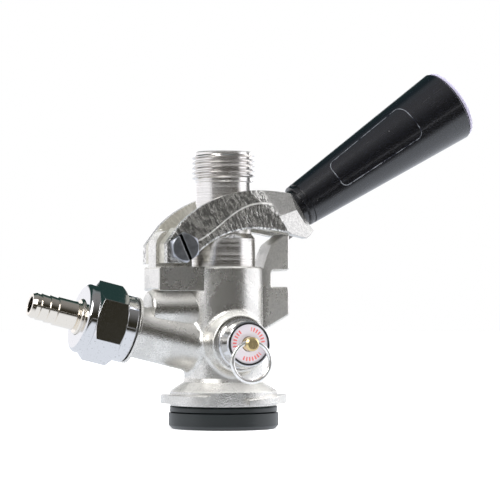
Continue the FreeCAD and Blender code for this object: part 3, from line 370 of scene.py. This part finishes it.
class MachinedFinishes(bpy.types.PropertyGroup):
    chrome: colour("Chrome", "Colour of the plated fittings", (0.78, 0.78, 0.79))
    tail: colour("Tail", "Colour of the barbed tail's warmer plating", (0.92, 0.86, 0.77))
    probe: colour("Probe", "Colour of the turned probe", (0.86, 0.84, 0.82))
    steel: colour("Blackened steel", "Colour of the pivot bolt", (0.56, 0.585, 0.64))
    bright: colour("Bright steel", "Colour of the springs, the pins and the latch", (0.72, 0.71, 0.70))
    wire: colour("Wire", "Colour of the pull ring", (0.96, 0.95, 0.94))
    brass: colour("Brass", "Colour of the relief stem", (0.78, 0.62, 0.33))
    tool_marks: size("Tool marks", "Pitch of the lathe's fine lines", 0.0005)


class MouldedFinishes(bpy.types.PropertyGroup):
    rubber: colour("Rubber", "Colour of the seals", (0.007, 0.011, 0.011))
    grip: colour("Grip", "Colour of the moulded grip", (0.003, 0.0036, 0.0065))
    cap: colour("Cap", "Colour of the grip's pale cap", (0.40, 0.38, 0.49))
    label: colour("Label", "Colour of the relief valve's disc", (0.70, 0.66, 0.72))
    print_red: colour("Print", "Colour of the disc's marks", (0.80, 0.10, 0.08))


class Outlet(bpy.types.PropertyGroup):
    cut: size("Cut", "Height above which the probe is made anew with its thread", 0.0870)
    top: size("Top", "Height of the outlet's end face", 0.1001)
    bore_radius: size("Bore radius", "Radius of the beer bore", 0.0046)
    neck_radius: size("Neck radius", "Radius of the tube under the thread", 0.0101)
    thread_bottom: size("Thread bottom", "Height where the thread runs out", 0.0895)
    thread_radius: size("Thread radius", "Outer radius of the thread", 0.01145)
    thread_depth: size("Thread depth", "Height of the ridge over its root", 0.0011)
    thread_pitch: size("Thread pitch", "Rise of the thread in one turn", 0.001814)
    thread_crest: size("Thread crest", "Width of the ridge's flat crest", 0.00026)


class Panel(bpy.types.PropertyGroup):
    start: size("Start", "Distance from which the line is laid on the grip", 0.030)
    corner: size("Corner", "Radius of the panel's corners", 0.0025)
    line: size("Line", "Half thickness of the raised line", 0.00018)
    foot: size("Foot", "From the socket to the panel's near end", 0.0182)
    length: size("Length", "Length of the panel along the grip", 0.0365)
    foot_top: size("Foot top", "Height of the panel's upper edge at the near end", 0.0075)
    head_top: size("Head top", "Height of the panel's upper edge at the far end", 0.0109)
    low: size("Low edge", "Height of the panel's lower edge", -0.0021)

    def corners(self):
        """How far out along the grip, and how high over its axis, each corner is."""
        head = self.foot + self.length
        return [(self.foot, self.low), (head, self.low), (head, self.head_top), (self.foot, self.foot_top)]


class Studio(bpy.types.PropertyGroup):
    floor: colour("Floor", "Colour of the floor", (0.92, 0.92, 0.92))
    sheen: colour("Sheen", "Colour of the floor in the metal", (0.86, 0.90, 0.97))
    dark: colour("Opening", "Colour of the tent's dark opening in the metal", (0.030, 0.027, 0.018))
    far_side: colour(
        "Far side", "Colour of the room behind the object in the metal", (0.022, 0.050, 0.046))
    walls: level("Walls", "Brightness of the tent's walls in the metal", 1.6)
    glow: level("Glow", "Light the floor gives to the camera", 0.62)
    fill: level("Fill", "Strength of the soft light all round", 0.50)
    key: level("Key", "Power of the large soft lamp", 3.5)
    overhead: level("Overhead", "Power of the lamp above", 16.0)
    focal: level("Focal length", "Lens in millimetres", 162.6, 1)
    distance: size("Distance", "From the probe's axis to the camera", 0.820)
    azimuth: FloatProperty(
        name="Azimuth", description="Side the camera stands on", default=math.radians(-19.5),
        unit="ROTATION")


# Finishes

def cast_nickel(name, base, rough):
    """Plated casting: a fine pebbled skin with dull patches and tumbled edges, and a painted highlight on
    top, where upward faces are made less metallic so that the lamps light them paler.
    """
    sizes = bpy.context.scene.cast_finishes
    dent_width = 0.0035
    patch_width = 0.010
    pit_spacing = 0.0026
    f = Finish(name)
    skin = f.noise(sizes.grain, detail=4, rough=0.6)
    dents = f.noise(dent_width, detail=2)
    dull = f.noise(patch_width, detail=3, rough=0.6).above(0.42, 0.60)
    fin = f.parts()[0].above(*FIN_SKIN)
    # painted highlight: faces that point up lose most of their metallic, so the lamps light them paler
    top = f.upward().above(0.15, 0.75) * (1 - fin)
    pits = f.cells(pit_spacing).above(0.14, 0.03) * skin.above(0.40, 0.55)
    tint = f.blend(dull, base, toned(base, 0.88))
    tint = f.blend(skin.above(0.55, 0.40) * 0.35, tint, toned(base, 0.62))
    tint = f.blend(pits * 0.22, tint, toned(base, 0.4))
    return f.set(
        base_color=tint,
        metallic=0.94 - fin * 0.15 - top * 0.75,
        roughness=dull * 0.08 + skin * 0.10 + fin * 0.06 + rough,
        normal=f.bump(skin + dents * 0.8, sizes.grain_depth, f.rounded(sizes.edge)))


def crease_height(x):
    """Height of the crease along the arms, as a value, from its place along them."""
    t = x / BOW_RADIUS
    height = CREASE[-1] * MM
    for factor in reversed(CREASE[:-1]):
        height = height * t + factor * MM
    return height


def hammered_nickel(name, base, rough):
    """The lever's skin: file marks square to the arms' bow, pebbles, a smoother socket, and a painted
    highlight along the crease and on the arms' inner sides.
    """
    sizes = bpy.context.scene.cast_finishes
    wander_width = 0.004
    wander_reach = 0.003
    mark_width = 0.00075
    pebble_width = 0.0009
    f = Finish(name)
    x, y, z = f.parts()
    across = x - BOW_CENTRE.x
    rise = z - BOW_CENTRE.z
    reach = (across * across + rise * rise) ** 0.5
    along = across.apply("ARCTAN2", rise) * BOW_RADIUS
    out = (x - SOCKET.x) * math.cos(HANDLE_TILT) + (z - SOCKET.z) * math.sin(HANDLE_TILT)
    arm = out.above(*ARM_SKIN)
    skin = f.noise(sizes.grain, detail=4, rough=0.6)
    wander = (f.noise(wander_width, detail=2) - 0.5) * wander_reach
    marks = f.noise(mark_width, detail=2, vector=f.point(along + wander, y * 0.8, reach * 0.24))
    pebbles = f.noise(pebble_width, detail=3, rough=0.6)
    # painted highlight: the arms' inner sides are paler, warmer and less metallic
    inner = abs(y).above(*INNER_SIDE_HIGHLIGHT) * arm
    # painted highlight: a paler, less metallic line along the crease
    crease = abs(z - crease_height(x)).above(*CREASE_HIGHLIGHT) * arm
    cut = (marks * 0.6 + pebbles * 0.4).above(0.40, 0.60) * arm
    tint = f.blend(cut, toned(base, 0.62), toned(base, 1.95))
    smooth = f.blend(skin.above(0.40, 0.60), toned(base, 0.98), toned(base, 1.22))
    tint = f.blend(1 - arm, tint, smooth)
    tint = f.blend(crease * 0.75, tint, toned(base, 2.0))
    tint = f.blend(inner * 0.8, tint, (0.70, 0.68, 0.60))
    height = skin * 0.5 + marks * arm * 3.0 + pebbles * arm * 1.6
    return f.set(
        base_color=tint,
        metallic=0.9 - inner * 0.4 - crease * 0.25,
        roughness=skin * 0.10 + inner * 0.1 + rough,
        normal=f.bump(height, sizes.grain_depth, f.rounded(sizes.edge)))


def plated(name, base, matrix, rough, marks=0.25):
    """Bright plating over a machined surface, with faint rings and speckles."""
    ring_width = 0.0006
    speck_width = 0.0007
    cloud_width = 0.012
    edge = 0.00025
    f = Finish(name, matrix)
    rings = f.noise(ring_width, detail=3, vector=f.point(0.0, 0.0, f.parts()[2]))
    speck = f.noise(speck_width, detail=2)
    cloud = f.noise(cloud_width, detail=2)
    return f.set(
        base_color=f.blend(speck.above(0.62, 0.72) * marks, base, toned(base, 0.6)),
        metallic=1.0,
        roughness=rough + cloud * 0.05 + speck * 0.04,
        normal=f.bump(rings + speck * 0.3, 0.000004, f.rounded(edge)))


def turned_probe():
    """Plated tube off the lathe: fine rings all round, a few broader ones that are paler, and smears."""
    sizes = bpy.context.scene.machined_finishes
    broad_width = 0.0016
    smear_width = 0.006
    f = Finish("turned_probe")
    round_axis = f.point(0.0, 0.0, f.parts()[2])
    fine = f.noise(sizes.tool_marks, detail=3, rough=0.7, vector=round_axis)
    broad = f.noise(broad_width, detail=2, vector=round_axis)
    smear = f.noise(smear_width, detail=3)
    base = f.blend(fine.above(0.42, 0.62) * 0.40, sizes.probe, toned(sizes.probe, 0.55))
    base = f.blend(smear.above(0.5, 0.7) * 0.25, base, (0.60, 0.54, 0.46))
    return f.set(
        base_color=base,
        metallic=1.0 - broad.above(0.45, 0.62) * 0.22,
        roughness=0.13 + broad * 0.10 + fine * 0.10,
        normal=f.bump(fine + broad * 0.8, 0.000014))


def rubber():
    """Black rubber with scuffs and a little dust, and painted shade on the ring round the foot's top,
    where the flange overhangs it.
    """
    sizes = bpy.context.scene.moulded_finishes
    grain_width = 0.0004
    smear_width = 0.008
    scuff_width = 0.0012
    f = Finish("moulded_rubber")
    grain = f.noise(grain_width, detail=3)
    smear = f.noise(smear_width, detail=4, rough=0.6)
    scuffs = f.noise(scuff_width, detail=2, vector=f.stretched(0.2, 0.2, 1.4))
    dust = scuffs.above(0.60, 0.74) * smear.above(0.45, 0.65)
    # painted shade: the ring round the foot's top gets a near-black metallic skin, standing in for the
    # flange's shadow
    painted_light_band = f.parts()[2].above(*SEAL_SHADE)
    base = f.blend(dust * 0.3, sizes.rubber, (0.05, 0.06, 0.07))
    return f.set(
        base_color=f.blend(painted_light_band, base, (0.012, 0.017, 0.015)),
        metallic=painted_light_band,
        roughness=0.24 + smear * 0.18,
        specular_ior_level=0.7,
        normal=f.bump(grain + scuffs * 0.6, 0.000018))


def grip_plastic():
    """Glossy black plastic with fine scratches along the grip and a few pale specks."""
    sizes = bpy.context.scene.moulded_finishes
    smear_width = 0.016
    scratch_width = 0.0009
    speck_spacing = 0.0048
    wave_width = 0.004
    f = Finish("grip_plastic", HANDLE_FRAME)
    smear = f.noise(smear_width, detail=4, rough=0.6)
    scratches = f.noise(scratch_width, detail=2, vector=f.stretched(1.0, 1.0, 0.05)).above(0.66, 0.74)
    specks = f.cells(speck_spacing).above(0.055, 0.02)
    return f.set(
        base_color=f.blend(specks * 0.5, sizes.grip, (0.30, 0.30, 0.31)),
        roughness=0.20 + smear * 0.12 + scratches * 0.16,
        coat_weight=0.5,
        coat_roughness=0.10,
        specular_ior_level=0.9,
        normal=f.bump(f.noise(wave_width, detail=2) + scratches * 0.15, 0.00002))


def raised_line():
    """The grip's plastic on the raised line, with a painted highlight: pale grey patches along it."""
    sizes = bpy.context.scene.moulded_finishes
    highlight_patch_width = 0.003
    grain_width = 0.0006
    f = Finish("raised_line", HANDLE_FRAME)
    # painted highlight in patches along the line
    highlight_patches = f.noise(highlight_patch_width, detail=3).above(0.35, 0.60)
    return f.set(
        base_color=f.blend(highlight_patches, toned(sizes.grip, 3), (0.16, 0.17, 0.19)),
        roughness=0.26 + highlight_patches * 0.1,
        normal=f.bump(f.noise(grain_width), 0.00001))


def cap_plastic():
    """Pale plastic, a little cloudy."""
    sizes = bpy.context.scene.moulded_finishes
    cloud_width = 0.010
    grain_width = 0.0008
    f = Finish("cap_plastic", HANDLE_FRAME)
    cloud = f.noise(cloud_width, detail=3)
    return f.set(
        base_color=f.blend(cloud.above(0.45, 0.7) * 0.4, sizes.cap, toned(sizes.cap, 0.93)),
        roughness=0.28 + cloud * 0.1,
        normal=f.bump(f.noise(grain_width), 0.000012))


def black_plastic():
    """Matt black plastic of the small inner pieces."""
    grain_width = 0.0006
    f = Finish("guide_plastic")
    grain = f.noise(grain_width, detail=3)
    return f.set(
        base_color=f.blend(grain.above(0.4, 0.7), (0.012, 0.012, 0.014), (0.03, 0.03, 0.033)),
        roughness=0.32 + grain * 0.12,
        normal=f.bump(grain, 0.00001))


def printed_label():
    """Pale disc with three rows of short red ticks round it."""
    sizes = bpy.context.scene.moulded_finishes
    cloud_width = 0.004
    smear_width = 0.003
    grain_width = 0.0008
    f = Finish("printed_label", RELIEF_FRAME)
    x, y = f.parts()[:2]
    reach = (x * x + y * y) ** 0.5
    angle = x.apply("ARCTAN2", y)
    band = reach.above(*PRINT_FROM) * reach.above(*PRINT_TO)
    ticks = (angle * TICKS_ROUND).apply("SINE").above(-0.15, 0.1)
    rows = (angle * ROWS_ROUND + ROWS_TURN).apply("SINE").above(-0.55, -0.45)
    base = f.blend(f.noise(cloud_width).above(0.4, 0.7) * 0.3, sizes.label, toned(sizes.label, 0.9))
    return f.set(
        base_color=f.blend(band * ticks * rows * 0.85, base, sizes.print_red),
        roughness=0.34 + f.noise(smear_width) * 0.1,
        normal=f.bump(f.noise(grain_width), 0.000008))


def blackened_steel():
    """Blackened steel of the pivot bolt and its nut, with painted shade in the slot and a painted
    highlight along the slot's edges.
    """
    sizes = bpy.context.scene.machined_finishes
    cloud_width = 0.003
    grain_width = 0.0006
    edge = 0.0003
    f = Finish("blackened_steel")
    cloud = f.noise(cloud_width, detail=4)
    x, y, z = f.parts()
    aside = abs((x - PIVOT.x) * math.sin(SLOT_LEAN) + (z - PIVOT.z) * math.cos(SLOT_LEAN))
    # painted shade: the slot is drawn near black
    slot = aside.above(*SLOT_SIDE) * y.above(*SLOT_MOUTH) * y.above(*SLOT_FLOOR)
    # painted highlight along the slot's edges on the head's face
    painted_light_band = aside.above(*SLOT_HIGHLIGHT) * y.above(*HEAD_FACE)
    base = f.blend(cloud.above(0.4, 0.7) * 0.5, sizes.steel, (0.20, 0.215, 0.245))
    base = f.blend(painted_light_band * 0.8, base, (0.62, 0.64, 0.68))
    return f.set(
        base_color=f.blend(slot, base, (0.006, 0.006, 0.008)),
        metallic=1.0,
        roughness=0.26 + cloud * 0.14,
        normal=f.bump(f.noise(grain_width, detail=3), 0.000012, f.rounded(edge)))


def bright_metal(name, base):
    """Drawn or turned metal, a little cloudy."""
    cloud_width = 0.002
    grain_width = 0.0005
    f = Finish(name)
    cloud = f.noise(cloud_width, detail=3)
    return f.set(
        base_color=f.blend(cloud.above(0.45, 0.7) * 0.4, base, toned(base, 0.75)),
        metallic=0.85,
        roughness=0.16 + cloud * 0.12,
        normal=f.bump(f.noise(grain_width), 0.000006))


# Pieces

def alone(piece):
    """Selects one object only, and makes it the active one."""
    bpy.ops.object.select_all(action="DESELECT")
    piece.select_set(True)
    bpy.context.view_layer.objects.active = piece
    return piece


def edit_all():
    """Enters edit mode with everything selected."""
    bpy.ops.object.mode_set(mode="EDIT")
    bpy.ops.mesh.select_all(action="SELECT")


def solid_copy(name, node):
    """A copy of a CAD node's mesh whose loose triangles are merged."""
    piece = bpy.data.objects.new(name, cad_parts[node].data.copy())
    bpy.context.scene.collection.objects.link(piece)
    alone(piece)
    edit_all()
    bpy.ops.mesh.remove_doubles(threshold=MERGE)
    bpy.ops.object.mode_set(mode="OBJECT")
    return piece


def chain(name, points):
    """A line of vertices in the XZ plane, extruded from point to point."""
    bpy.ops.object.select_all(action="DESELECT")
    bpy.ops.mesh.primitive_plane_add(size=MM)
    piece = bpy.context.object
    piece.name = name
    edit_all()
    bpy.ops.mesh.merge(type="CENTER")
    bpy.ops.mesh.select_all(action="SELECT")
    bpy.ops.transform.translate(value=(points[0][0], 0, points[0][1]))
    for before, after in zip(points, points[1:]):
        bpy.ops.mesh.extrude_vertices_move(
            TRANSFORM_OT_translate={"value": (after[0] - before[0], 0, after[1] - before[1])})
    bpy.ops.object.mode_set(mode="OBJECT")
    return piece


def pick(piece, test):
    """Selects the vertices of a piece that pass a test, in edit mode."""
    bpy.ops.object.mode_set(mode="EDIT")
    bpy.ops.mesh.select_mode(type="VERT")
    bpy.ops.mesh.select_all(action="DESELECT")
    bpy.ops.object.mode_set(mode="OBJECT")
    for vertex in piece.data.vertices:
        vertex.select = test(vertex)
    bpy.ops.object.mode_set(mode="EDIT")


def close_up():
    """Merges the active piece's doubles and points its faces outwards."""
    edit_all()
    bpy.ops.mesh.remove_doubles(threshold=MERGE)
    bpy.ops.mesh.normals_make_consistent(inside=False)
    bpy.ops.object.mode_set(mode="OBJECT")


def outlet_core(sizes):
    """The outlet's tube above the cut, with a plain root where the thread goes."""
    root = sizes.thread_radius - sizes.thread_depth
    core = chain("outlet_core", [
        (sizes.bore_radius, sizes.cut),
        (sizes.bore_radius, sizes.top - BORE_CHAMFER),
        (sizes.bore_radius + BORE_CHAMFER, sizes.top),
        (root - RIM_BREAK, sizes.top),
        (root, sizes.top - RIM_BREAK),
        (root, sizes.thread_bottom - ROOT_UNDER),
        (sizes.neck_radius, sizes.thread_bottom - NECK_UNDER),
        (sizes.neck_radius, sizes.cut),
    ])
    edit_all()
    bpy.ops.mesh.spin(steps=TUBE_STEPS, angle=2 * math.pi, center=(0, 0, 0), axis=(0, 0, 1))
    bpy.ops.object.mode_set(mode="OBJECT")
    close_up()
    return core


def thread_ridge(sizes):
    """One ridge wound up the outlet, running out into the root at both ends."""
    inside = sizes.thread_radius - sizes.thread_depth - RIDGE_SUNK
    flank = (sizes.thread_pitch - sizes.thread_crest) / 2 - sizes.thread_crest / 2
    height = 2 * flank + sizes.thread_crest
    low = sizes.thread_bottom - RIDGE_UNDER
    turns = (sizes.top - RIDGE_BELOW_TOP - low - height) / sizes.thread_pitch
    ridge = chain("thread_ridge", [
        (inside, low),
        (sizes.thread_radius, low + flank),
        (sizes.thread_radius, low + flank + sizes.thread_crest),
        (inside, low + height),
    ])
    edit_all()
    bpy.ops.mesh.edge_face_add()
    bpy.ops.mesh.delete(type="ONLY_FACE")
    bpy.ops.object.mode_set(mode="OBJECT")
    winding = ridge.modifiers.new("winding", "SCREW")
    winding.angle = turns * 2 * math.pi
    winding.screw_offset = turns * sizes.thread_pitch
    winding.steps = round(turns * RIDGE_STEPS)
    winding.render_steps = winding.steps
    winding.use_smooth_shade = False
    bpy.ops.object.modifier_apply(modifier=winding.name)
    last = len(ridge.data.vertices) // 4 - 1
    for n in range(RUN_OUT_STEPS):
        crest = inside + (sizes.thread_radius - inside) * n / RUN_OUT_STEPS
        shrink = crest / sizes.thread_radius
        pick(ridge, lambda vertex: vertex.index // 4 in (n, last - n) and vertex.index % 4 in (1, 2))
        bpy.ops.transform.resize(value=(shrink, shrink, 1), center_override=(0, 0, 0))
        bpy.ops.object.mode_set(mode="OBJECT")
    for end in (0, last):
        pick(ridge, lambda vertex: vertex.index // 4 == end)
        bpy.ops.mesh.edge_face_add()
        bpy.ops.object.mode_set(mode="OBJECT")
    close_up()
    return ridge


def panel_line(sizes):
    """The raised outline of the grip's long panel, laid on the near side of the cone."""
    bpy.ops.object.select_all(action="DESELECT")
    bpy.ops.mesh.primitive_plane_add(size=MM)
    line = bpy.context.object
    line.name = "grip_panel_line"
    corners = [HANDLE_FRAME @ Vector((above, 0, out)) for out, above in sizes.corners()]
    for n, corner in zip((0, 1, 3, 2), corners):
        line.data.vertices[n].co = (corner.x, -sizes.start, corner.z)
    bpy.ops.object.mode_set(mode="EDIT")
    bpy.ops.mesh.select_mode(type="VERT")
    bpy.ops.mesh.select_all(action="SELECT")
    bpy.ops.mesh.bevel(offset=sizes.corner, segments=CORNER_STEPS, affect="VERTICES")
    bpy.ops.mesh.select_all(action="SELECT")
    bpy.ops.mesh.delete(type="ONLY_FACE")
    bpy.ops.mesh.select_all(action="SELECT")
    bpy.ops.mesh.subdivide(number_cuts=SIDE_CUTS)
    bpy.ops.object.mode_set(mode="OBJECT")
    laid = line.modifiers.new("laid", "SHRINKWRAP")
    laid.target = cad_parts["grip"]
    laid.wrap_method = "PROJECT"
    laid.use_project_x = False
    laid.use_project_y = True
    laid.use_project_z = False
    laid.use_positive_direction = True
    laid.use_negative_direction = False
    bpy.ops.object.modifier_apply(modifier=laid.name)
    bpy.ops.object.convert(target="CURVE")
    line.data.bevel_depth = sizes.line
    line.data.bevel_resolution = LINE_ROUNDNESS
    bpy.ops.object.convert(target="MESH")
    close_up()
    return line


def finish_piece(piece, smooth, material):
    """Smooths a new piece up to an angle, and gives it its finish."""
    alone(piece)
    bpy.ops.object.shade_smooth_by_angle(angle=smooth)
    piece.data.materials.clear()
    piece.data.materials.append(material)


# Operators

class COUPLER_OT_castings(bpy.types.Operator):
    """Finishes the body and the lever as satin plated castings"""

    bl_idname = "coupler.castings"
    bl_label = "Castings"

    def execute(self, context):
        sizes = context.scene.cast_finishes
        dress(["coupler_body"], cast_nickel("body_nickel", sizes.nickel, 0.17))
        dress(["lever_yoke"], hammered_nickel("lever_nickel", sizes.worn_nickel, 0.20))
        return {"FINISHED"}


class COUPLER_OT_fittings(bpy.types.Operator):
    """Finishes the turned and plated fittings"""

    bl_idname = "coupler.fittings"
    bl_label = "Turned fittings"

    def execute(self, context):
        sizes = context.scene.machined_finishes
        dress(["gas_nut"], plated("nut_chrome", sizes.chrome, INLET_FRAME, 0.05, 0.7))
        dress(["gas_tailpiece"], plated("tail_chrome", sizes.tail, INLET_FRAME, 0.06))
        dress(["relief_sleeve"], plated("sleeve_chrome", sizes.chrome, RELIEF_FRAME, 0.07))
        dress(["pivot_bolt", "pivot_nut"], blackened_steel())
        dress(
            ["relief_spring", "latch_bolt", "rod_nut", "latch_spring", "spring_plug", "drive_pins"],
            bright_metal("bright_steel", sizes.bright))
        dress(["relief_ring"], bright_metal("ring_wire", sizes.wire))
        dress(["relief_stem"], bright_metal("brass", sizes.brass))
        return {"FINISHED"}


class COUPLER_OT_outlet(bpy.types.Operator):
    """Makes the probe anew with a real wound thread on its outlet"""

    bl_idname = "coupler.outlet"
    bl_label = "Probe and thread"

    def execute(self, context):
        sizes = context.scene.outlet
        core = outlet_core(sizes)
        ridge = thread_ridge(sizes)
        tube = solid_copy("turned_probe", "probe")
        edit_all()
        bpy.ops.mesh.bisect(plane_co=(0, 0, sizes.cut), plane_no=(0, 0, 1), clear_outer=True)
        bpy.ops.object.mode_set(mode="OBJECT")
        bpy.ops.mesh.customdata_custom_splitnormals_clear()
        core.select_set(True)
        ridge.select_set(True)
        bpy.ops.object.join()
        finish_piece(tube, PROBE_SMOOTH, turned_probe())
        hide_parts("probe")
        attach(tube, "probe_tube")
        return {"FINISHED"}


class COUPLER_OT_panel(bpy.types.Operator):
    """Lays the raised outline of a panel on the grip"""

    bl_idname = "coupler.panel"
    bl_label = "Grip panel"

    def execute(self, context):
        line = panel_line(context.scene.panel)
        finish_piece(line, LINE_SMOOTH, raised_line())
        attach(line, "handle")
        return {"FINISHED"}


class COUPLER_OT_moulded(bpy.types.Operator):
    """Finishes the rubber and plastic pieces"""

    bl_idname = "coupler.moulded"
    bl_label = "Rubber and plastic"

    def execute(self, context):
        dress(
            ["body_seal", "probe_seal", "probe_o_rings", "relief_o_ring", "relief_seal",
             "tailpiece_washer", "gas_check_valve"],
            rubber())
        dress(["grip"], grip_plastic())
        dress(["grip_cap", "check_ball"], cap_plastic())
        dress(["relief_insert", "ball_retainer"], black_plastic())
        dress(["relief_label"], printed_label())
        return {"FINISHED"}


def lamp(name, place, sides, power):
    """A soft rectangular lamp that points at the object."""
    data = bpy.data.lights.new(name, "AREA")
    data.shape = "RECTANGLE"
    data.size, data.size_y = sides
    data.energy = power
    made = bpy.data.objects.new(name, data)
    bpy.context.scene.collection.objects.link(made)
    made.location = place
    made.rotation_euler = (LAMP_AIM - place).to_track_quat("-Z", "Y").to_euler()
    return made


class COUPLER_OT_stage(bpy.types.Operator):
    """Makes the pale floor, the soft light and the camera"""

    bl_idname = "coupler.stage"
    bl_label = "Studio"

    def execute(self, context):
        studio = context.scene.studio
        context.scene.view_settings.view_transform = "Standard"
        self.make_floor(studio)
        self.make_world(studio)
        self.make_lamps(studio)
        self.make_camera(studio)
        return {"FINISHED"}

    def make_floor(self, studio):
        """Pale paper, which the metal sees as bright near the object and by the walls, and else dark."""
        bpy.ops.object.select_all(action="DESELECT")
        bpy.ops.mesh.primitive_circle_add(vertices=64, radius=FLOOR_RADIUS, fill_type="NGON")
        floor = bpy.context.object
        floor.name = "floor"
        f = Finish("floor_paper")
        f.set(base_color=studio.floor, roughness=0.9, specular_ior_level=0.1)
        x, y = f.parts()[:2]
        turn = bearing(x, y)
        near = ((x * x + y * y) ** 0.5).above(*BRIGHT_FLOOR)
        lit = near.most(turn.above(*LEFT_WALL)).most(turn.above(*RIGHT_WALL))
        glow = f.light("ShaderNodeEmission", WHITE, studio.glow)
        glowing = f.node("ShaderNodeAddShader", None, {0: f.surface, 1: glow})
        seen = f.where("Is Camera Ray", f.surface, Value(f, glowing.outputs[0]))
        mirrored = f.light("ShaderNodeEmission", f.blend(lit, studio.dark, studio.sheen), 1.0)
        f.feed(f.output, f.where("Is Glossy Ray", seen, mirrored))
        floor.data.materials.append(f.material)

    def make_world(self, studio):
        """White to the camera, soft all round, and to metal a bright tent with a dark front opening."""
        world = bpy.data.worlds.new("tent")
        bpy.context.scene.world = world
        world.use_nodes = True
        f = Nodes(world.node_tree, "ShaderNodeOutputWorld", "Generated")
        x, y, z = f.parts()
        turn = bearing(x, y)
        left = turn.above(*LEFT_WALL) * z.above(*LEFT_TOP) * LEFT_SHARE
        right = turn.above(*RIGHT_WALL) * z.above(*RIGHT_TOP)
        behind = abs(turn).above(*FAR_SIDE) * z.above(*FAR_SIDE_FOOT)
        walls = left.most(right) * (1 - behind)
        roof = (z.above(*ROOF_RISE) * y.above(*ROOF_BACK)).most(z.above(*ROOF_MIDDLE)) * ROOF_SHARE
        lit = walls.most(roof).most(z.above(*TABLE_TOP))
        shade = f.blend(behind, studio.dark, studio.far_side)
        tent = f.blend(lit, shade, [studio.walls * c for c in WALL_TINT])
        soft = f.light("ShaderNodeBackground", WHITE, studio.fill)
        mirrored = f.light("ShaderNodeBackground", tent, 1.0)
        white = f.light("ShaderNodeBackground", WHITE, 1.0)
        other = f.where("Is Glossy Ray", soft, mirrored)
        f.feed(f.output, f.where("Is Camera Ray", other, white))

    def make_lamps(self, studio):
        lamp("key", KEY_PLACE, KEY_SIZE, studio.key)
        lamp("rim", RIM_PLACE, RIM_SIZE, studio.key * RIM_SHARE)
        overhead = lamp("overhead", OVERHEAD_PLACE, OVERHEAD_SIZE, studio.overhead)
        overhead.visible_glossy = False

    def make_camera(self, studio):
        data = bpy.data.cameras.new("camera")
        data.sensor_width = SENSOR_MM
        data.lens = studio.focal
        data.clip_start = CLIP_NEAR
        data.clip_end = CLIP_FAR
        camera = bpy.data.objects.new("camera", data)
        bpy.context.scene.collection.objects.link(camera)
        turn = studio.azimuth
        right = Vector((math.cos(turn), math.sin(turn), 0))
        back = Vector((math.sin(turn), -math.cos(turn), 0))
        camera.location = back * studio.distance + Vector((0, 0, CAMERA_HEIGHT))
        aim = right * AIM_ASIDE + Vector((0, 0, AIM_HEIGHT))
        camera.rotation_euler = (aim - camera.location).to_track_quat("-Z", "Y").to_euler()
        bpy.context.scene.camera = camera


class COUPLER_PT_sidebar(bpy.types.Panel):
    """Lists the settings and the operators in the sidebar"""

    bl_label = "Keg coupler"
    bl_idname = "COUPLER_PT_sidebar"
    bl_space_type = "VIEW_3D"
    bl_region_type = "UI"
    bl_category = "Coupler"

    def draw(self, context):
        for group in GROUPS:
            settings = getattr(context.scene, group)
            for name in settings.bl_rna.properties.keys():
                if name not in ("rna_type", "name"):
                    self.layout.prop(settings, name)
        for operator in OPERATORS:
            self.layout.operator(operator.bl_idname)


GROUPS = {
    "cast_finishes": CastFinishes,
    "machined_finishes": MachinedFinishes,
    "moulded_finishes": MouldedFinishes,
    "outlet": Outlet,
    "panel": Panel,
    "studio": Studio,
}
OPERATORS = [
    COUPLER_OT_castings,
    COUPLER_OT_fittings,
    COUPLER_OT_outlet,
    COUPLER_OT_panel,
    COUPLER_OT_moulded,
    COUPLER_OT_stage,
]


def register():
    for name, group in GROUPS.items():
        bpy.utils.register_class(group)
        setattr(bpy.types.Scene, name, PointerProperty(type=group))
    for operator in OPERATORS:
        bpy.utils.register_class(operator)
    bpy.utils.register_class(COUPLER_PT_sidebar)


def unregister():
    bpy.utils.unregister_class(COUPLER_PT_sidebar)
    for operator in reversed(OPERATORS):
        bpy.utils.unregister_class(operator)
    for name, group in reversed(GROUPS.items()):
        delattr(bpy.types.Scene, name)
        bpy.utils.unregister_class(group)


def main():
    register()
    bpy.ops.coupler.castings()
    bpy.ops.coupler.fittings()
    bpy.ops.coupler.outlet()
    bpy.ops.coupler.panel()
    bpy.ops.coupler.moulded()
    bpy.ops.coupler.stage()


if __name__ == "__main__":
    main()
